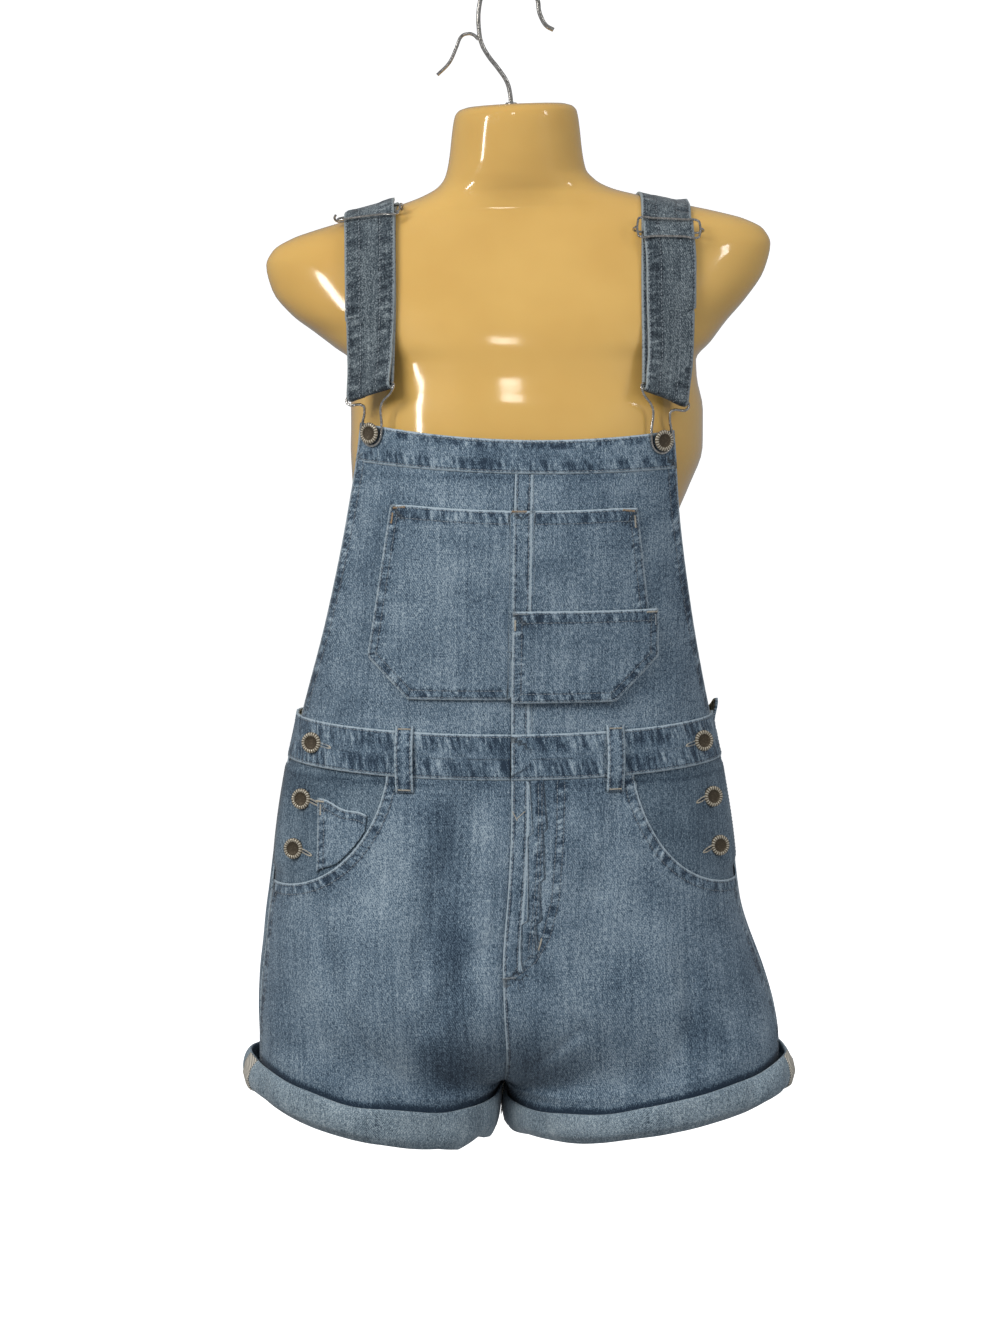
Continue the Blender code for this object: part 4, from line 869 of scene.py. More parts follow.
for side, label in ((-1, "left"), (1, "right")):
    place = shorts_place(side, -1)
    front, cut = lay_cloth("front_panel_" + label, 84, 114, place, heart=(0.011 + side * LEG_MIDDLE, 0.0))
    mouth = route(place, (SCOOP_SHARE, 1.0), (1.0, 1.0), 70)
    side_seam = route(place, (1.0, 0.0), (1.0, 1.0), 80)
    if side < 0:
        seams = [seam(mouth, 2.0, 9.0, 0.50, 0.35), seam(side_seam, 2.2, 11.0, 0.22, 0.3)]
    else:
        middle = route(place, (0.0, 1.0), (0.0, 0.30), 80)
        fly = front_line((0.0435, 0.300), (0.0430, 0.255), (0.0420, 0.205), (0.0370, 0.176), (0.0260, 0.156),
                         (0.0080, 0.143))
        inner_fly = front_line((0.0250, 0.300), (0.0255, 0.255), (0.0250, 0.205), (0.0235, 0.168))
        felled = front_line((FELLED, 0.300), (FELLED, 0.150))
        seams = [seam(mouth, 2.0, 9.0, 0.50, 0.35), seam(side_seam, 2.2, 11.0, 0.22, 0.3),
                 seam(middle, 2.2, UNSEWN, 0.20, 0.8, 13.5, 2.0),
                 seam(felled[::-1], 2.2, UNSEWN, 0.20, 0.8, 13.5, 2.0, within=True),
                 seam(fly[::-1], 0.8, 6.6, 0.30, 0.12, 9.0, within=True),
                 seam(inner_fly[::-1], 0.6, 3.4, 0.08, 0.0, 3.0, within=True)]
    finish_cloth(front, cut, "front_" + label, DENIM, blue_denim, seams)

# The shorts' backs: two plain panels of the same denim with a felled seam in the middle. They wrap to
# the side seams, where the fronts overlap them.
for side, label in ((-1, "left"), (1, "right")):
    place = shorts_place(side, 1)
    back, cut = lay_cloth("back_panel_" + label, 56, 76, place, heart=(0.011 + side * LEG_MIDDLE, 0.0))
    middle = route(place, (0.0, 0.30), (0.0, 1.0), 60)
    side_seam = route(place, (1.0, 0.0), (1.0, 1.0), 60)
    if side < 0:
        seams = [seam(side_seam, 2.2, UNSEWN, 0.12, 0.0, 4.0)]
    else:
        seams = [seam(middle, 2.0, 11.5, 0.30, 0.7, 13.5), seam(side_seam, 2.2, UNSEWN, 0.12, 0.0, 4.0)]
    finish_cloth(back, cut, "back_" + label, DENIM, blue_denim, seams)

# The cuffs: each hem is turned up, so the paler reverse side of the denim shows. The roll is soft and
# uneven, stands off the leg at the top and wraps under the leg's lower edge.
CUFF_WALL, CUFF_SEAT, CUFF_TOP_OUT = 0.0026, 0.0031, 0.0068
CUFF_BELLY_FRONT, CUFF_BELLY_OUTER = 0.0085, 0.0140
CUFF_HEIGHTS = (0.0315, 0.0305, 0.0285)
# share of the way round, height added to the top edge, drop of the lower edge (millimetres)
CUFF_UNEVEN = {
    -1: ((0.000, 6.0, -4.0), (0.020, 6.0, -5.5), (0.045, 4.0, -1.0), (0.068, 2.6, 2.6), (0.085, 2.6, 1.0),
         (0.105, 2.6, -2.4), (0.150, 2.0, 4.0), (0.185, 0.8, 1.0), (0.230, 0.0, 1.8), (0.300, -0.8, 1.6),
         (0.370, -0.6, 2.6), (0.430, 0.6, 3.0), (0.480, 1.0, 3.6), (0.560, 0.0, 2.0), (0.660, 1.0, -1.0),
         (0.760, -0.6, 1.4), (0.860, 0.8, -1.2), (0.960, 2.0, -1.0), (1.000, 6.0, -4.0)),
    1: ((0.000, -1.0, 4.0), (0.020, -1.6, 4.0), (0.050, -2.4, 1.4), (0.090, -2.8, -2.2), (0.140, -3.0, -2.8),
        (0.190, -2.6, -2.4), (0.240, -1.6, -2.6), (0.290, -0.8, -2.0), (0.340, -0.2, -0.6), (0.390, 0.0, 1.6),
        (0.430, 0.6, 2.8), (0.480, 1.0, 3.2), (0.560, 0.6, 2.0), (0.660, -0.8, -1.0), (0.760, 0.6, 1.4),
        (0.860, -0.8, -1.0), (1.000, -1.0, 4.0)),
}
CUFF_COLUMNS, CUFF_SIDES = 260, 40
CUFF_CREASES = {
    -1: ((0.052, 1.8), (0.115, 2.4), (0.190, 1.5), (0.262, 2.2), (0.345, 1.6), (0.430, 2.0), (0.60, 2.0), (0.81, 2.2)),
    1: ((0.060, 2.2), (0.140, 1.6), (0.225, 2.4), (0.310, 1.5), (0.385, 2.2), (0.455, 1.8), (0.65, 2.0), (0.86, 2.2)),
}
pale_denim = denim_paint("reverse_denim", (0.048, 0.070, 0.094), (0.185, 0.247, 0.298), (0.450, 0.520, 0.560),
                         (0.420, 0.440, 0.440))


def soft_outline(points, count):
    """A closed outline with evenly spaced points and rounded corners"""
    ring = np.array(list(points) + [points[0]])
    runs = np.concatenate([[0.0], np.cumsum(np.linalg.norm(np.diff(ring, axis=0), axis=1))])
    at = np.linspace(0.0, runs[-1], count, endpoint=False)
    soft = np.stack([np.interp(at, runs, ring[:, axis]) for axis in (0, 1)], axis=1)
    for _ in range(2):
        soft = 0.5 * soft + 0.25 * (np.roll(soft, 1, axis=0) + np.roll(soft, -1, axis=0))
    return soft, at


def cuff_spot(side, share, grow=0.0):
    """Outline of a cuff at a share of the way round, starting at the inseam and going over the front"""
    face, angle = leg_spot(-1, share * 2.0) if share <= 0.5 else leg_spot(1, 2.0 - share * 2.0)
    outer = ease((angle - 80.0) / 90.0)
    open_up = ease(angle / 50.0)
    wave = math.sin(share * 41.0 + side) + 0.7 * math.sin(share * 67.0 + 2.0 * side)
    lump = math.sin(share * 29.0 + 1.3 * side) + 0.5 * math.sin(share * 83.0)
    for place, size in CUFF_CREASES[side]:
        lump -= size * math.exp(-((share - place) / 0.009) ** 2)
    top = lerp(CUFF_SEAT, CUFF_TOP_OUT + 0.0008 * wave, open_up)
    belly = lerp(CUFF_SEAT, lerp(CUFF_BELLY_FRONT, CUFF_BELLY_OUTER, outer) + 0.0009 * lump, open_up) + grow
    belly += 0.0034 * (side > 0) * (1.0 - ease(abs(angle - 8.0) / 26.0))
    foot = lerp(CUFF_SEAT, belly, 0.8)
    height = lerp(CUFF_HEIGHTS[0], lerp(CUFF_HEIGHTS[1], CUFF_HEIGHTS[2], outer) + 0.0009 * wave, open_up)
    shares, taller, lower = (np.array(CUFF_UNEVEN[side])[:, column] for column in range(3))
    height += 0.001 * float(np.interp(share, shares, taller))
    drop = 0.001 * float(np.interp(share, shares, lower))
    outline = ((top, height), (lerp(top, belly, 0.7), 0.78 * height - 0.2 * drop), (belly, 0.5 * height - 0.5 * drop),
               (foot, 0.25 * height - 0.9 * drop), (CUFF_SEAT, 0.0032 - drop), (0.0014, 0.0002 - drop),
               (-0.0020, 0.0002 - drop), (-0.0020, 0.0026 - drop), (0.0005, 0.0030 - drop),
               (foot - CUFF_WALL, 0.27 * height - 0.9 * drop), (belly - CUFF_WALL, 0.5 * height - 0.5 * drop),
               (top - CUFF_WALL, height))
    return face, angle, outline


def shape_cuff(side, label):
    bpy.ops.object.select_all(action="DESELECT")
    bpy.ops.mesh.primitive_torus_add(major_segments=CUFF_COLUMNS, minor_segments=CUFF_SIDES,
                                     major_radius=1.0, minor_radius=0.5)
    piece = bpy.context.object
    piece.name = "cuff_roll_" + label
    mesh = piece.data
    laid = {}
    runs_down = {}
    for column in range(CUFF_COLUMNS):
        face, angle, outline = cuff_spot(side, column / CUFF_COLUMNS)
        soft, runs_down[column] = soft_outline(outline, CUFF_SIDES)
        for row, (out, rise) in enumerate(soft):
            laid[column, row] = stand(leg(side, face, angle, rise, out))
    cells = []
    for vertex in mesh.vertices:
        column = round(math.atan2(vertex.co.y, vertex.co.x) / math.tau * CUFF_COLUMNS) % CUFF_COLUMNS
        reach = math.hypot(vertex.co.x, vertex.co.y) - 1.0
        row = round(math.atan2(vertex.co.z, reach) / math.tau * CUFF_SIDES) % CUFF_SIDES
        cells.append((column, row))
        vertex.co = laid[column, row]
    bpy.ops.object.mode_set(mode="EDIT")
    bpy.ops.mesh.select_all(action="SELECT")
    bpy.ops.mesh.normals_make_consistent(inside=False)
    bpy.ops.object.mode_set(mode="OBJECT")
    while mesh.uv_layers:
        mesh.uv_layers.remove(mesh.uv_layers[0])
    layer = mesh.uv_layers.new(name="cloth")
    for polygon in mesh.polygons:
        corners = [cells[index] for index in polygon.vertices]
        wraps = max(corner[0] for corner in corners) - min(corner[0] for corner in corners) > 2
        turns = max(corner[1] for corner in corners) - min(corner[1] for corner in corners) > 2
        for loop_index, (column, row) in zip(polygon.loop_indices, corners):
            run = column + (CUFF_COLUMNS if wraps and column < 3 else 0)
            drop = row + (CUFF_SIDES if turns and row < 3 else 0)
            layer.data[loop_index].uv = (run / CUFF_COLUMNS * 0.70, -drop / CUFF_SIDES * 0.090)
    upper = [stand(leg(side, *cuff_spot(side, step / 200.0)[:2], cuff_spot(side, step / 200.0)[2][0][1],
                       cuff_spot(side, step / 200.0)[2][0][0])) for step in range(201)]
    area = sum(face.area for face in mesh.polygons) / 2.0
    seams = [seam(upper if side > 0 else upper[::-1], UNSEWN, UNSEWN, 0.0, 0.0)]
    finish_cloth(piece, (0.70, area / 0.70 * 1.0005, area), "cuff_" + label, 0.0, pale_denim,
                        seams)


def paint_shade_above_cuff(cloth, side):
    """Paints shade on the leg's cloth just above the cuff's standing edge, where little light gets in"""
    edge = []
    for step in range(101):
        face, angle, outline = cuff_spot(side, step / 200.0)
        edge.append(stand(leg(side, face, angle, outline[0][1], outline[0][0])))
    edge.sort(key=lambda point: point.x)
    edge = np.array(edge)
    wear_and_shade = cloth.data.attributes["wear_and_shade"].data
    for vertex in cloth.data.vertices:
        above = vertex.co.z - np.interp(vertex.co.x, edge[:, 0], edge[:, 2])
        if above < 0.009:
            wear_and_shade[vertex.index].value -= 1.9 * (1.0 - ease(above / 0.0052))


for side, label in ((-1, "left"), (1, "right")):
    shape_cuff(side, label)
    paint_shade_above_cuff(bpy.data.objects["front_panel_" + label], side)

# The hip pockets' facings: pieces of the same denim, painted darker as shade, behind the scooped mouths, which also
# carry the side openings' edges. The one on the photo's left has a small coin pocket sewn on.
# A darker copy of the washed denim: painted shade for the facings deep in the pocket mouths.
shade_painted_denim = denim_paint("shaded_denim", (0.016, 0.029, 0.048), (0.082, 0.126, 0.172), (0.250, 0.320, 0.380),
                         THREAD)


def facing_place(side):
    def place(share, climb):
        _, low = scoop(lerp(14.0, 90.0, share), 0.010)
        x_low = around(1, scoop(lerp(14.0, 90.0, share), 0.010)[0], low).x
        height = lerp(low, waist_line(x_low) + 2.0 * TUCK, climb)
        x = around(1, side_angle(height), height).x - (around(1, side_angle(low), low).x - x_low)
        tucked = 3.5 * ease((share - 0.8) / 0.2)
        lapped = ease((share - 0.88) / 0.10) * ease((height - low - 0.014) / 0.014)
        lapped *= ease((waist_line(x_low) - height - 0.002) / 0.008)
        out = lerp(-DENIM - LAYER_GAP, DENIM + SEAM_GAP, lapped)
        point = around(side, min(angle_at(x, height), side_angle(height)) + tucked, height, out)
        point.y -= SEAM_GAP
        return point

    return place


for side, label in ((-1, "left"), (1, "right")):
    place = facing_place(side)
    facing, cut = lay_cloth("pocket_facing_cloth_" + label, 44, 42, place)
    edge = route(place, (1.0, 1.0), (1.0, 0.0), 40)
    if side > 0:
        edge = edge[::-1]
    finish_cloth(facing, cut, "pocket_facing_" + label, DENIM, shade_painted_denim,
                 [seam(edge, 3.0, UNSEWN, 0.12, 0.15, 5.0)])


def coin_place(share, climb):
    low_angle, low = scoop(lerp(62.0, 28.0, share), -0.0022)
    top = lerp(0.2830, 0.2720, share)
    x = lerp(lerp(0.1540, around(1, low_angle, low).x, ease(share * 3.0)), lerp(0.1540, 0.1145, share), climb)
    wavy = 0.0011 * math.sin(share * 9.0) * ease(climb * 3.0 - 2.0)
    return on_front(-x, lerp(low, top, climb) + wavy, -LAYER_GAP + DENIM * 0.5)


coin, cut = lay_cloth("coin_pocket_cloth", 22, 28, coin_place)
finish_cloth(coin, cut, "coin_pocket", DENIM * 0.8, blue_denim,
             [sewn(coin_place, (1.0, 1.0), (0.0, 1.0), 20, 2.0, 7.0, 0.20, 0.15),
              sewn(coin_place, (0.0, 1.0), (0.0, 0.0), 20, 1.6, 6.6, 0.16, 0.1)])

# The waistband: doubled denim in two front pieces and one back piece, top-stitched along both edges.
# The felled centre seam runs through it on the photo's right of the middle.
RIDGE, RIDGE_WIDTH = 0.0008, 0.0135


def ridge(x, layer=0):
    return 0.0 if x < 0.0 else RIDGE * (1.0 - ease((x - RIDGE_WIDTH - 0.0014 * layer) / 0.0010))


def band_place(side):
    def place(share, climb):
        angle = lerp(0.0, side_angle(WAIST_BOTTOM), share)
        level = WAIST_HEIGHT * climb
        across = around(1, angle, WAIST_BOTTOM + level).x
        out = DOUBLED * 0.25 + (ridge(across) if side > 0 else 0.0)
        point = around(side, angle, waist_line(across, level), out)
        point.x += side * SEAM_GAP
        point.y -= SEAM_GAP
        return point

    return place


for side, label in ((-1, "left"), (1, "right")):
    place = band_place(side)
    band, cut = lay_cloth("waistband_" + label, 92, 16, place)
    lower, upper = route(place, (0.0, 0.0), (1.0, 0.0), 90), route(place, (0.0, 1.0), (1.0, 1.0), 90)
    end = route(place, (1.0, 0.0), (1.0, 1.0), 16)
    seams = [seam(lower, 2.2, UNSEWN, 0.55, 0.1, 40.0, 17.0), seam(upper, 2.2, UNSEWN, 0.45, 0.1, 40.0, 15.0),
             seam(end, 2.4, UNSEWN, 0.15, 0.1, 4.0)]
    if side > 0:
        seams.append(sewn(place, (0.0, 0.86), (0.0, 0.14), 20, 2.2, UNSEWN, 0.10, 0.3, 13.5))
    finish_cloth(band, cut, "waistband_front_" + label, DOUBLED, blue_denim, seams)


def back_band_place(share, climb):
    turn = 2.0 * share - 1.0
    side = -1 if turn < 0 else 1
    angle = lerp(180.0, WAIST_SIDE_ANGLE + 1.2, abs(turn))
    corner = ease((abs(turn) - 0.90) / 0.10)
    level = (WAIST_HEIGHT + (0.010 if side > 0 else 0.001) * corner) * climb
    across = around(1, angle, WAIST_BOTTOM + level).x
    out = DOUBLED * 0.25 + (0.0060 * corner * ease(climb * 2.0 - 1.0) if side > 0 else 0.0)
    point = around(side, angle, waist_line(across, level), out)
    point.y += SEAM_GAP
    return point


back_band, cut = lay_cloth("waistband_behind", 130, 12, back_band_place)
finish_cloth(back_band, cut, "waistband_back", DOUBLED, blue_denim,
             [sewn(back_band_place, (1.0, 0.0), (0.0, 0.0), 120, 2.2, 8.4, 0.36, 0.1, 40.0, 15.0),
              sewn(back_band_place, (0.0, 1.0), (1.0, 1.0), 120, 2.2, 8.4, 0.36, 0.1, 40.0, 15.0)])

# The bib: two halves joined by the felled centre seam, with turned side edges, a doubled band on top
# and a plain back bib whose sides slope up to the straps.
BIB_BAND_BOTTOM, BIB_TOP, BIB_BAND_HALF, BIB_BACK_TOP = 0.545, 0.572, 0.124, 0.602
BIB = ((0.338, 0.1670), (0.425, 0.1467), (0.508, 0.1320), (0.590, 0.1225))
BIB_BACK = ((0.345, 0.1600), (0.370, 0.1440), (0.410, 0.1220), (0.470, 0.0980), (0.540, 0.0820),
            (0.605, 0.0740))


def band_line(x):
    return BIB_BAND_BOTTOM + 0.005 * (x / BIB_BAND_HALF) ** 2


def bib_place(side):
    def place(share, climb):
        x = share * read(BIB, lerp(WAIST_BOTTOM + WAIST_HEIGHT, BIB_BAND_BOTTOM, climb))[0]
        height = lerp(waist_line(x, WAIST_HEIGHT) - TUCK, band_line(x) + TUCK, climb)
        point = on_front(side * x, height, ridge(x) if side > 0 else 0.0)
        point.x = side * (x + SEAM_GAP) if side > 0 or share > 0.0 else TUCK
        return point

    return place


for side, label in ((-1, "left"), (1, "right")):
    place = bib_place(side)
    half, cut = lay_cloth("bib_half_" + label, 62, 86, place)
    seams = [sewn(place, (1.0, 1.0), (1.0, 0.0), 80, 2.2, 9.6, 0.40, 0.4)]
    if side > 0:
        felled = front_line((FELLED, 0.335), (FELLED, 0.550))
        seams += [sewn(place, (0.0, 1.0), (0.0, 0.0), 80, 2.2, UNSEWN, 0.22, 0.0, 13.5, 2.0),
                  seam(felled, 2.2, UNSEWN, 0.22, 0.0, 13.5, 2.0, within=True)]
    finish_cloth(half, cut, "bib_" + label, DENIM, blue_denim, seams)


def bib_band_place(share, climb):
    half = read(BIB, lerp(BIB_BAND_BOTTOM, BIB_TOP, climb))[0]
    x = lerp(-half, half, share)
    height = lerp(band_line(x) + 2.0 * SEAM_GAP, BIB_TOP + 0.009 * (x / BIB_BAND_HALF) ** 2, climb)
    return on_front(x, height, DOUBLED * 0.25 + ridge(x))


top_band, cut = lay_cloth("bib_top_band", 104, 12, bib_band_place)
finish_cloth(top_band, cut, "bib_band", DOUBLED, blue_denim,
             [sewn(bib_band_place, (1.0, 1.0), (0.0, 1.0), 90, 2.2, UNSEWN, 0.30, 0.15, 30.0, 6.0),
              sewn(bib_band_place, (0.0, 0.0), (1.0, 0.0), 90, 2.2, UNSEWN, 0.50, 0.15, 30.0, 11.0),
              sewn(bib_band_place, (0.0, 1.0), (0.0, 0.0), 12, 2.4, UNSEWN, 0.10, 0.0, 4.0),
              sewn(bib_band_place, (1.0, 0.0), (1.0, 1.0), 12, 2.4, UNSEWN, 0.10, 0.0, 4.0)])


def back_bib_place(share, climb):
    level = lerp(WAIST_BOTTOM + WAIST_HEIGHT + 0.007, BIB_BACK_TOP, climb)
    x = (2.0 * share - 1.0) * read(BIB_BACK, level)[0]
    return on_back(x, lerp(waist_line(x, WAIST_HEIGHT) + 2.0 * SEAM_GAP, BIB_BACK_TOP, climb))


back_bib, cut = lay_cloth("bib_behind", 70, 76, back_bib_place)
finish_cloth(back_bib, cut, "bib_back", DENIM, blue_denim,
             [sewn(back_bib_place, (0.0, 0.0), (0.0, 1.0), 60, 2.2, 9.6, 0.26, 0.3),
              sewn(back_bib_place, (1.0, 1.0), (1.0, 0.0), 60, 2.2, 9.6, 0.26, 0.3),
              sewn(back_bib_place, (0.0, 1.0), (1.0, 1.0), 30, 2.2, 9.6, 0.26, 0.3)])

# The bib's pockets: a wide patch pocket with cut corners, and a pen pocket sewn over its lower corner
# from the centre seam. Both mouths are turned and sewn with two rows.
POCKET = ((0.366, 0.0815), (0.399, 0.1130), (0.520, 0.0965))
BIB_POCKET_LOW, BIB_POCKET_TOP = 0.366, 0.519
PEN_POCKET_LOW, PEN_POCKET_TOP = 0.3635, 0.437


def pocket_half(height):
    low, corner, top = POCKET
    if height < corner[0]:
        return lerp(low[1], corner[1], (height - low[0]) / (corner[0] - low[0]))
    return lerp(corner[1], top[1], (height - corner[0]) / (top[0] - corner[0]))


def three_sides(place, count):
    """Down one side of a patch, along its bottom and up the other side"""
    return (route(place, (0.0, 1.0), (0.0, 0.0), count) + route(place, (0.0, 0.0), (1.0, 0.0), count)[1:]
            + route(place, (1.0, 0.0), (1.0, 1.0), count)[1:])


def bib_pocket_place(share, climb):
    height = lerp(BIB_POCKET_LOW, BIB_POCKET_TOP, climb)
    half = pocket_half(height)
    x = lerp(-half, half, share)
    sag = 0.0025 * (1.0 - min(1.0, (x / 0.08) ** 2)) * climb ** 8
    return on_front(x, height - sag, 1.5 * LAYER_GAP + DENIM + ridge(x, 1))


patch, cut = lay_cloth("bib_patch_pocket", 90, 63, bib_pocket_place)
middle = route(bib_pocket_place, (0.5, 1.0), (0.5, 0.0), 60)
felled = []
for step in range(61):
    half = pocket_half(lerp(BIB_POCKET_LOW, BIB_POCKET_TOP, step / 60))
    felled.append(stand(bib_pocket_place(0.5 + 0.0140 / (2.0 * half), step / 60)))
finish_cloth(patch, cut, "bib_pocket", DENIM, blue_denim,
             [sewn(bib_pocket_place, (1.0, 1.0), (0.0, 1.0), 60, 2.0, 10.6, 0.50, 0.35),
              seam(three_sides(bib_pocket_place, 60), 1.8, 7.4, 0.36, 0.2),
              seam(middle, 1.6, UNSEWN, 0.20, 0.0, 13.5, 2.0, within=True),
              seam(felled, 2.2, UNSEWN, 0.22, 0.0, 13.5, 2.0, within=True)])


def pen_pocket_place(share, climb):
    height = lerp(PEN_POCKET_LOW, PEN_POCKET_TOP, climb)
    x = share * (pocket_half(height) + lerp(0.0030, 0.0060, ease((height - 0.400) / 0.035)))
    return on_front(x, height, 3.0 * LAYER_GAP + 2.0 * DENIM + ridge(x, 2))


pen, cut = lay_cloth("pen_patch_pocket", 44, 32, pen_pocket_place)
finish_cloth(pen, cut, "pen_pocket", DENIM, blue_denim,
             [sewn(pen_pocket_place, (1.0, 1.0), (0.0, 1.0), 30, 2.0, 9.4, 0.50, 0.35),
              seam(three_sides(pen_pocket_place, 30), 1.8, 7.4, 0.36, 0.2)])

# The belt loops: five narrow strips with turned edges, tacked over the waistband at both ends.
for number, (x_loop, face) in enumerate(((-0.084, -1), (0.083, -1), (-0.085, 1), (0.0, 1), (0.085, 1)), 1):

    def place(share, climb):
        height = waist_line(x_loop, -0.0120) + 0.0530 * climb
        stand_off = 0.0020 + 0.0034 * math.sin(math.pi * climb)
        return (on_front if face < 0 else on_back)(x_loop + 0.0138 * (share - 0.5), height, stand_off)

    loop, cut = lay_cloth(f"loop_strip_{number}", 6, 24, place)
    left, right = route(place, (0.0, 1.0), (0.0, 0.0), 24), route(place, (1.0, 0.0), (1.0, 1.0), 24)
    if face > 0:
        left, right = left[::-1], right[::-1]
    finish_cloth(loop, cut, f"belt_loop_{number}", 0.0016, blue_denim,
                 [seam(left, 2.0, UNSEWN, 0.08, 0.2, 3.0), seam(right, 2.0, UNSEWN, 0.08, 0.2, 3.0)])

# The straps: long strips of doubled denim, sewn along both edges. Each comes over the shoulder, folds
# round its buckle's bar and runs back up to end inside the slider.
strap_denim = denim_paint("faded_strap_denim", (0.013, 0.019, 0.027), (0.070, 0.091, 0.108), (0.250, 0.290, 0.310),
                          THREAD, 0.26)
STRAP_WIDTH, WEBBING, BODY_GAP = 0.040, 0.0022, 0.0009
STRAP_FOLD, STRAP_SLANT, BAR_DEPTH = 0.4330, 0.32, 0.0039
SLIDER_AT = {-1: 0.2700, 1: 0.3060}
STRAP = (
    # run, x, y, z, turn of the width in degrees
    (0.0000, 0.0500, 0.0990, 0.572, -20.0), (0.0283, 0.0540, 0.0985, 0.600, -20.0),
    (0.0754, 0.0670, 0.0920, 0.645, -18.0), (0.1306, 0.0870, 0.0760, 0.695, -12.0),
    (0.1793, 0.1040, 0.0550, 0.735, -5.0), (0.2166, 0.1135, 0.0300, 0.753, 0.0),
    (0.2440, 0.1170, 0.0030, 0.755, 0.0), (0.2762, 0.1185, -0.0260, 0.745, 0.0),
    (0.3096, 0.1180, -0.0460, 0.722, 5.0), (0.3460, 0.1170, -0.0600, 0.690, 12.0),
    (0.3936, 0.1160, -0.0775, 0.645, 24.0), (0.4411, 0.1145, -0.0935, 0.600, 33.0),
    (0.4621, 0.1140, -0.0990, 0.580, 34.0),
)


def form_reach(origin, direction):
    """Distance from a point inside the torso form to its surface"""
    near, far = 0.0, 0.25
    for _ in range(18):
        half = 0.5 * (near + far)
        point = origin + direction * half
        width, front, back, centre, squareness = read(FORM, point.z)
        depth = front if point.y < 0 else back
        inside = (abs(point.x - centre) / width) ** squareness + (abs(point.y) / depth) ** squareness < 1.0
        near, far = (half, far) if inside and FORM[0][0] < point.z < FORM[-1][0] else (near, half)
    return near


def strap_base(side, run, across):
    """Point on the strap's body side, kept clear of the form and of the back bib"""
    x, y, z, turn = read(STRAP, run + STRAP_SLANT * across * ease((run - 0.360) / 0.070))
    turn = math.radians(turn)
    point = Vector((x + across * math.cos(turn), y + across * math.sin(turn), z))
    heart = Vector((point.x, 0.0, 0.680))
    distance = (point - heart).length
    direction = (point - heart).normalized()
    reach = form_reach(Vector((side * heart.x, heart.y, heart.z)),
                       Vector((side * direction.x, direction.y, direction.z)))
    point = heart + direction * max(distance, reach + BODY_GAP)
    if point.y > 0.0 and point.z < 0.66:
        clear = max(point.y, on_back(point.x, point.z).y + 0.0009)
        point.y = max(point.y, lerp(clear, point.y, ease((point.z - 0.615) / 0.040)))
    return point


def strap_point(side, run, across, depth):
    """Point at a depth outward from the strap's body side, in the straight pattern"""
    edge = STRAP_WIDTH / 2.0
    if abs(across) > edge:
        rim = strap_point(side, run, math.copysign(edge, across), depth)
        inner = strap_point(side, run, math.copysign(edge - 0.004, across), depth)
        return rim + (rim - inner) * (abs(across) - edge) / 0.004
    step = 0.0015
    along = strap_base(side, run + step, across) - strap_base(side, run - step, across)
    wide = strap_base(side, run, across + step) - strap_base(side, run, across - step)
    point = strap_base(side, run, across) - wide.cross(along).normalized() * depth
    return Vector((side * point.x, point.y, point.z))


def strap_place(side):
    end_run = SLIDER_AT[side] - 0.0095
    returning = (STRAP_FOLD - end_run)
    total = STRAP_FOLD + 0.0122 + returning

    def place(share, climb):
        across = STRAP_WIDTH * (share - 0.5)
        way = climb * total
        if way <= STRAP_FOLD:
            return strap_point(side, way, across, 0.0)
        if way <= STRAP_FOLD + 0.0122:
            turn = math.pi * (way - STRAP_FOLD) / 0.0122
            centre = strap_point(side, STRAP_FOLD, across, BAR_DEPTH)
            outward = (centre - strap_point(side, STRAP_FOLD, across, 0.0)).normalized()
            down = (strap_point(side, STRAP_FOLD + 0.001, across, BAR_DEPTH) - centre).normalized()
            return centre + (down * math.sin(turn) - outward * math.cos(turn)) * BAR_DEPTH
        run = STRAP_FOLD - (way - STRAP_FOLD - 0.0122)
        if side > 0:
            across += 0.0032 * ease((STRAP_FOLD - run) / 0.030) * ease((run - end_run) / 0.040)
        near = max(0.0, 1.0 - abs(STRAP_FOLD - run) / 0.030, 1.0 - abs(SLIDER_AT[side] - run) / 0.030)
        return strap_point(side, run, across, lerp(2.0 * WEBBING + 0.0010, 2.0 * BAR_DEPTH, ease(near)))

    return place


for side, label in ((-1, "left"), (1, "right")):
    place = strap_place(side)
    strap, cut = lay_cloth("strap_" + label + "_cloth", 12, 190, place, reverse=side < 0, upright=False)
    one, other = route(place, (0.0, 0.0), (0.0, 1.0), 150), route(place, (1.0, 1.0), (1.0, 0.0), 150)
    finish_cloth(strap, cut, "strap_" + label, WEBBING, strap_denim,
                 [seam(one, 2.0, 12.2, 0.30, 0.55, 13.0, 9.0), seam(other, 2.0, 12.2, 0.30, 0.55, 13.0, 9.0)])

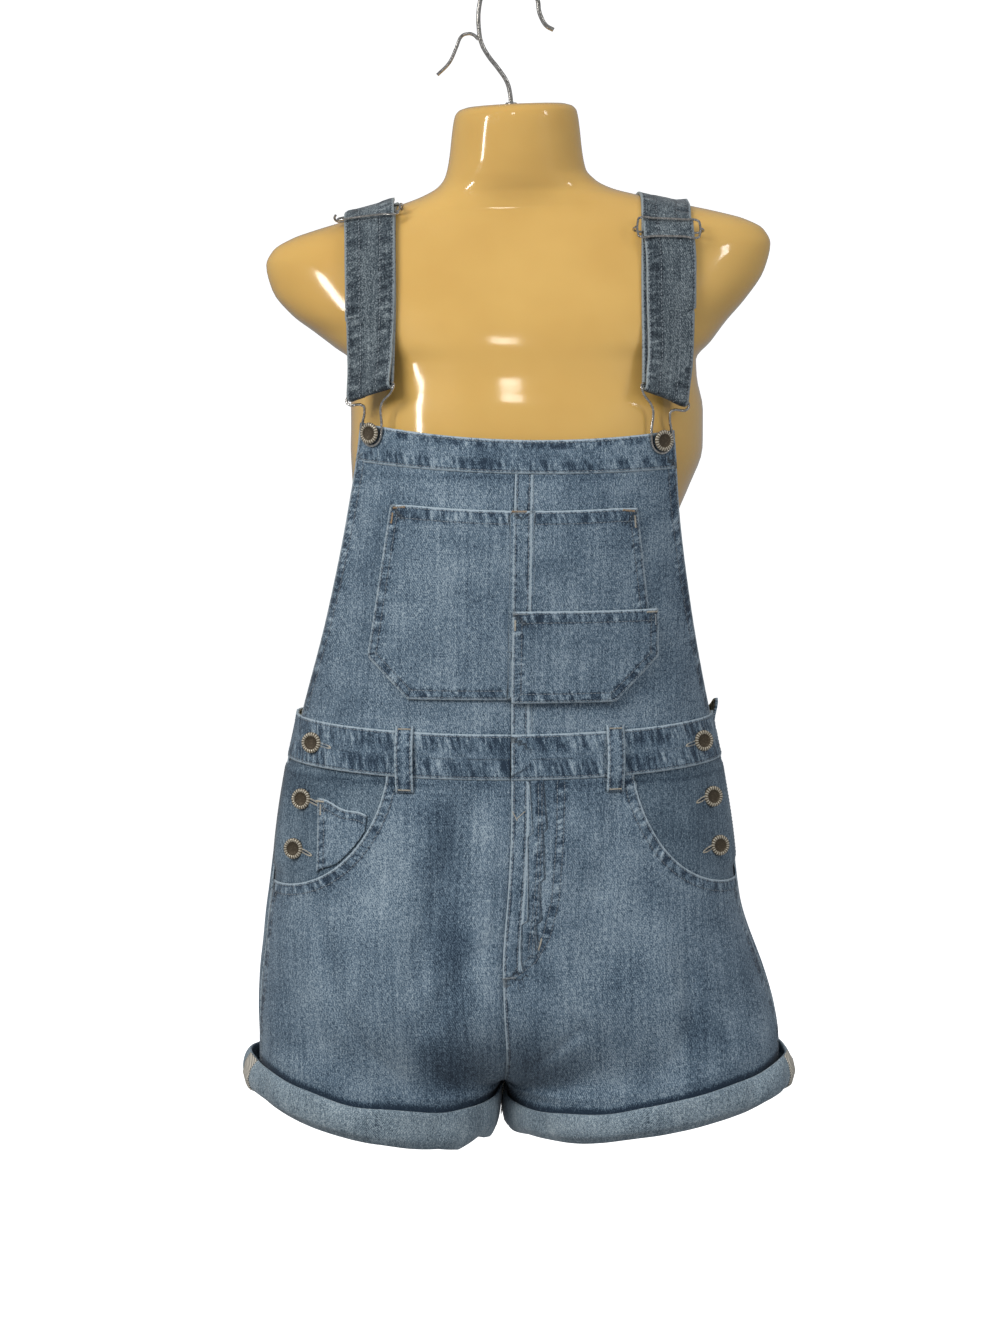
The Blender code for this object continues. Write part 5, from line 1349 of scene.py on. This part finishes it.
# The hardware: wire hook buckles over the bib's buttons, and wire sliders whose bars hold the straps'
# returning ends. All are bent from round plated wire.
BIB_BUTTON = (0.1140, 0.5730)
SIDE_BUTTONS = ((0.1565, 0.326), (0.1670, 0.280), (0.1730, 0.240))
BUCKLE_WIRE, SLIDER_WIRE = 0.0011, 0.0010
for side, label in ((-1, "left"), (1, "right")):
    x_button, z_button = BIB_BUTTON
    bar_end = STRAP_WIDTH / 2.0 + BUCKLE_WIRE + 0.0007
    bar_inner, bar_outer = (strap_point(side, STRAP_FOLD, toward * bar_end, BAR_DEPTH) for toward in (-1, 1))
    bends = [strap_point(side, STRAP_FOLD, lerp(-bar_end, bar_end, index / 4.0), BAR_DEPTH)
             for index in range(5)]

    def near_button(out, up, climb):
        point = on_front(side * (x_button + out), z_button + up, DOUBLED * 0.25 + 0.0004 + BUCKLE_WIRE)
        bar = lerp(bar_inner, bar_outer, (out + bar_end) / (2.0 * bar_end))
        point.y = lerp(point.y, bar.y, climb)
        return point

    bends.append(strap_point(side, STRAP_FOLD + 0.0050, bar_end, BAR_DEPTH))
    bends += [near_button(0.0065, 0.0225, 0.75), near_button(0.0055, 0.0175, 0.45),
              near_button(0.0070, 0.0085, 0.15)]
    for index in range(7):
        turn = math.radians(180.0 * index / 6.0)
        bends.append(near_button(0.0082 * math.cos(turn), 0.0010 - 0.0108 * math.sin(turn), 0.0))
    bends += [near_button(-0.0085, 0.0085, 0.15), near_button(-0.0075, 0.0205, 0.55),
              near_button(-0.0085, 0.0255, 0.80), strap_point(side, STRAP_FOLD + 0.0050, -bar_end, BAR_DEPTH)]
    bent_wire("hook_buckle_" + label, "buckle_" + label, [stand(point) for point in bends], BUCKLE_WIRE, True)
    run, half_height, half_width = SLIDER_AT[side], 0.0075, 0.0233

    def hang_askew(across):
        """The slider on the photo's left sits off its place and slants across the strap"""
        return 0.0064 - 0.0022 * across if side < 0 else 0.0

    def wire_depth(along):
        """Both long wires lie on the strap; on the photo's left the upper one passes under its end"""
        proud = 2.0 * BAR_DEPTH + SLIDER_WIRE + 0.0014
        return lerp(0.0045, proud, (along + 1.0) / 2.0) if side < 0 else proud

    corners = [stand(strap_point(side, run + along * half_height + hang_askew(across), across * half_width,
                                 wire_depth(along)))
               for across, along in ((-1, -1), (-0.5, -1), (0, -1), (0.5, -1), (1, -1), (1.04, -0.75),
                                     (1.04, 0.75), (1, 1), (0.5, 1), (0, 1), (-0.5, 1), (-1, 1),
                                     (-1.04, 0.75), (-1.04, -0.75))]
    bent_wire("slider_loop_" + label, "slider_frame_" + label, corners, SLIDER_WIRE, True)
    bar = [stand(strap_point(side, run + hang_askew(across / half_width), across, out)) for across, out in (
        (-0.0258, 0.0112), (-0.0275, 0.0085), (-0.0262, 0.0055), (-0.0225, BAR_DEPTH), (-0.0120, BAR_DEPTH),
        (0.0, BAR_DEPTH), (0.0120, BAR_DEPTH), (0.0225, BAR_DEPTH), (0.0262, 0.0055), (0.0275, 0.0085),
        (0.0258, 0.0112))]
    bent_wire("slider_pin_" + label, "slider_bar_" + label, bar, SLIDER_WIRE)

# The buttons: two-part shank buttons with a knurled, worn rim and a dark antiqued centre, set through
# the bib band, the waistband's ends and the side openings.
antique, tree, shader = new_paint("antiqued_button_metal")
place = object_place(tree)
wear = tree.nodes.new("ShaderNodeAttribute")
wear.attribute_name = "rim"
shade = figure(tree, "MULTIPLY_ADD", grain(tree, place, 700.0, 3.0, 0.6), 0.5, wear.outputs["Fac"])
tree.links.new(colours(tree, shade, (0.25, (0.070, 0.054, 0.036)), (0.55, (0.22, 0.185, 0.130)),
                       (0.95, (0.76, 0.71, 0.60))), shader.inputs["Base Color"])
tree.links.new(figure(tree, "MULTIPLY_ADD", shade, -0.16, 0.52), shader.inputs["Roughness"])
raise_by(tree, shader, grain(tree, place, 1300.0, 3.0), 0.00012)
shader.inputs["Metallic"].default_value = 0.5
BUTTON_SIDES = 66


def stamp_button(name, node, side, x, height, seat, shank, lean):
    """Its head leans toward the front by a share, as the shank gives"""
    profile = ((0.0, 0.0016), (0.0020, 0.0017), (0.0044, 0.0017), (0.0050, 0.0021), (0.0058, 0.0029),
               (0.0068, 0.0031), (0.0077, 0.0028), (0.0083, 0.0021), (0.0085, 0.0013), (0.0081, 0.0005),
               (0.0060, 0.0001), (0.0034, 0.0), (0.0033, -0.8 * shank), (0.0, -0.8 * shank))
    piece = added(bpy.ops.mesh.primitive_uv_sphere_add, name, segments=BUTTON_SIDES, ring_count=len(profile) - 1,
                  radius=1.0)
    reach = 0.004
    side_ways = stand(on_front(side * x + reach, height, seat)) - stand(on_front(side * x - reach, height, seat))
    upward = stand(on_front(side * x, height + reach, seat)) - stand(on_front(side * x, height - reach, seat))
    normal = side_ways.cross(upward).normalized()
    normal = normal.lerp(Vector((0.0, -1.0, 0.05)), lean).normalized()
    right = (side_ways - normal * side_ways.dot(normal)).normalized()
    up = normal.cross(right)
    seat_point = stand(on_front(side * x, height, seat)) + normal * 0.0016 * lean
    rims = []
    for vertex in piece.data.vertices:
        ring = round(math.acos(max(-1.0, min(1.0, vertex.co.z))) / math.pi * (len(profile) - 1))
        radius, lift = profile[ring]
        turn = math.atan2(vertex.co.y, vertex.co.x)
        knurl = 1.0 if math.cos(turn * BUTTON_SIDES / 3.0) > 0.3 else 0.0
        if 4 <= ring <= 7:
            lift -= 0.00028 * knurl
        rims.append((1.0 if 4 <= ring <= 7 else 0.0) * (0.75 - 0.55 * knurl))
        vertex.co = (seat_point + right * radius * math.cos(turn) + up * radius * math.sin(turn)
                     + normal * (lift + shank))
    layer = piece.data.attributes.new("rim", "FLOAT", "POINT")
    layer.data.foreach_set("value", rims)
    bpy.ops.object.mode_set(mode="EDIT")
    bpy.ops.mesh.select_all(action="SELECT")
    bpy.ops.mesh.remove_doubles(threshold=0.00001)
    bpy.ops.mesh.normals_make_consistent(inside=False)
    bpy.ops.object.mode_set(mode="OBJECT")
    settle(piece, antique, node)


for side, label in ((-1, "left"), (1, "right")):
    stamp_button("shank_button_bib_" + label, "button_bib_" + label, side, *BIB_BUTTON, DOUBLED * 0.25, 0.0032, 0.2)
    for number, (x, height) in enumerate(SIDE_BUTTONS, 1):
        seat = DOUBLED * 0.25 if number == 1 else -DENIM - LAYER_GAP
        stamp_button(f"shank_button_{label}_{number}", f"button_side_{label}_{number}", side, x, height, seat,
                     0.0020, 0.55)

# The sewn details: buttonholes worked in cream thread beside the side buttons, dense bar tacks at the
# pocket corners, loops and fly, and the overlocked seam edges that the turned-up cuffs bring outside.
CREAM = (0.560, 0.510, 0.420)
RUST = (0.420, 0.290, 0.170)
work_threads = {}
for name, colour in (("cream_thread", CREAM), ("ochre_thread", RUST), ("blue_thread", (0.330, 0.370, 0.400))):
    darker = tuple(0.6 * channel for channel in colour)
    work_threads[name] = thread_paint(name, 1200.0, darker, colour, 0.75, 0.65)
# A dark strip of painted shadow for inside the buttonholes' slots.
slot_shadow = thread_paint("buttonhole_slot_shadow", 500.0, (0.012, 0.016, 0.024), (0.03, 0.04, 0.055), 0.95)


def satin(name, stitches, paint, thick=0.0004):
    """Packed threads: each is laid from one point to another, just proud of the cloth"""
    spots, faces = [], []
    for start, end, normal in stitches:
        along = (end - start).normalized()
        wide = normal.cross(along)
        base = len(spots)
        middle = (start + end) / 2.0
        spots += [start - normal * 0.0002, end - normal * 0.0002, middle + wide * thick, middle - wide * thick,
                  middle + normal * thick, start.lerp(end, 0.2) + normal * thick * 0.7,
                  start.lerp(end, 0.8) + normal * thick * 0.7]
        faces += [(base + 5, base, base + 2), (base + 4, base + 5, base + 2), (base + 4, base + 2, base + 6),
                  (base + 6, base + 2, base + 1), (base, base + 5, base + 3), (base + 5, base + 4, base + 3),
                  (base + 3, base + 4, base + 6), (base + 3, base + 6, base + 1)]
    thread_mesh(name, spots, faces, paint)


def front_patch(x, height, out, tilt):
    """A small flat work area on the cloth: its centre, its two directions and its normal"""
    reach = 0.003
    here = stand(on_front(x, height, out))
    right = (stand(on_front(x + reach, height, out)) - stand(on_front(x - reach, height, out))).normalized()
    up = (stand(on_front(x, height + reach, out)) - stand(on_front(x, height - reach, out))).normalized()
    normal = right.cross(up).normalized()
    turn = math.radians(tilt)
    along = right * math.cos(turn) + up * math.sin(turn)
    return here, along, normal.cross(along), normal


def bar_tack(name, x, height, out, tilt, length, width, paint, count=11):
    here, along, across, normal = front_patch(x, height, out, tilt)
    stitches = []
    for index in range(count):
        at = here + along * length * (index / (count - 1) - 0.5)
        slip = along * length * 0.4 / count
        stitches.append((at - across * width / 2.0 - slip, at + across * width / 2.0 + slip, normal))
    satin(name, stitches, work_threads[paint])


def buttonhole(name, x, height, out, tilt, length):
    """Cream stitches round a slot, starting under the button and pointing toward the middle; a dark strip in the slot
    is painted shadow
    """
    here, along, across, normal = front_patch(x, height, out, tilt)
    stitches = []
    count = 40
    for index in range(count):
        turn = math.tau * index / count
        inner = here + along * (length / 2.0 - 0.0010) * math.cos(turn) + across * 0.0005 * math.sin(turn)
        outer = here + along * (length / 2.0 + 0.0008) * math.cos(turn) + across * 0.0021 * math.sin(turn)
        stitches.append((inner, outer, normal))
    satin(name, stitches, work_threads["cream_thread"])
    satin(name + "_slot", [(here - along * length * 0.45, here + along * length * 0.45, normal)], slot_shadow, 0.0005)


for side, label in ((-1, "left"), (1, "right")):
    for number, (x, height) in enumerate(SIDE_BUTTONS, 1):
        out = DOUBLED * 0.25 + 0.0002 if number == 1 else -DENIM - LAYER_GAP + 0.0003
        drop = (-0.0022, -0.0020, -0.0030)[number - 1]
        buttonhole(f"buttonhole_{label}_{number}", side * (x - 0.0085), height + drop * 0.5, out,
                   14.0 * side if number > 1 else 8.0 * side, 0.0150)

POCKET_OUT = 1.5 * LAYER_GAP + DENIM + 0.0004
PEN_OUT = 3.0 * LAYER_GAP + 2.0 * DENIM + 0.0004
for number, (x, height, out, tilt, length, width, paint) in enumerate((
        (-0.0895, 0.5170, POCKET_OUT, 6.0, 0.0100, 0.0024, "ochre_thread"),
        (0.0895, 0.5170, POCKET_OUT, -6.0, 0.0100, 0.0024, "ochre_thread"),
        (0.0950, 0.5080, POCKET_OUT, 96.0, 0.0090, 0.0022, "cream_thread"),
        (-0.0950, 0.5085, POCKET_OUT, 82.0, 0.0080, 0.0020, "ochre_thread"),
        (0.0040, 0.5160, POCKET_OUT + RIDGE, 0.0, 0.0110, 0.0026, "ochre_thread"),
        (0.0060, 0.4350, PEN_OUT + RIDGE, 0.0, 0.0105, 0.0022, "blue_thread"),
        (0.1090, 0.4345, PEN_OUT, 0.0, 0.0095, 0.0022, "cream_thread"),
        (0.1120, 0.4280, PEN_OUT, 94.0, 0.0080, 0.0020, "blue_thread"),
        (0.0020, 0.4260, PEN_OUT + RIDGE, 90.0, 0.0080, 0.0020, "cream_thread"),
        (0.0050, 0.1455, RIDGE + 0.0002, 4.0, 0.0100, 0.0022, "blue_thread"),
        (0.0290, 0.1720, 0.0004, 78.0, 0.0090, 0.0020, "cream_thread"),
        (0.0075, 0.2745, RIDGE + 0.0003, 42.0, 0.0080, 0.0010, "cream_thread"),
        (0.0030, 0.2740, RIDGE + 0.0003, 118.0, 0.0075, 0.0010, "cream_thread"),
        (-0.1520, 0.2805, -LAYER_GAP + DENIM * 0.5 + 0.0003, 0.0, 0.0080, 0.0020, "cream_thread"),
        (-0.1515, 0.2740, -LAYER_GAP + DENIM * 0.5 + 0.0003, 88.0, 0.0080, 0.0020, "cream_thread")), 1):
    bar_tack(f"bar_tack_{number:02d}", x, height, out, tilt, length, width, paint)
for number, x in enumerate((-0.084, 0.083), 1):
    for end, height in (("top", 0.3285), ("bottom", -0.0100)):
        level = waist_line(x, 0.0385) if end == "top" else waist_line(x, -0.0098)
        bar_tack(f"loop_tack_{number}_{end}", x, level, 0.0030, 0.0, 0.0095, 0.0018, "cream_thread")

serging, tree, shader = new_paint("overlocked_edge")
cloth_map = tree.nodes.new("ShaderNodeUVMap")
cloth_map.uv_map = "cloth"
split = tree.nodes.new("ShaderNodeSeparateXYZ")
tree.links.new(cloth_map.outputs["UV"], split.inputs["Vector"])
zigzag = figure(tree, "ABSOLUTE", figure(tree, "SINE", figure(tree, "MULTIPLY_ADD", split.outputs["Y"], 1500.0,
                figure(tree, "MULTIPLY", split.outputs["X"], 500.0))))
tree.links.new(colours(tree, zigzag, (0.25, (0.10, 0.10, 0.11)), (0.60, (0.50, 0.47, 0.40)),
                       (1.0, (0.66, 0.62, 0.54))), shader.inputs["Base Color"])
raise_by(tree, shader, zigzag, 0.0005)
shader.inputs["Roughness"].default_value = 0.85
SERGED = 0.0008
for side, label in ((-1, "left"), (1, "right")):
    for spot, start, width in (("side", 0.4740 if side < 0 else 0.4620, 0.0300), ("inseam", 0.0060, 0.0080)):

        def place(share, climb):
            face, angle, outline = cuff_spot(side, start + width * share)
            at = climb * 3.9
            index = min(int(at), 3)
            out = lerp(outline[index][0], outline[index + 1][0], at - index)
            rise = lerp(outline[index][1], outline[index + 1][1], at - index)
            return leg(side, face, angle, rise, out + 0.0007)

        strip, _ = lay_cloth(f"overlock_{spot}_{label}", 5, 26, place, upright=False)
        thicken(strip, SERGED)
        settle(strip, serging)
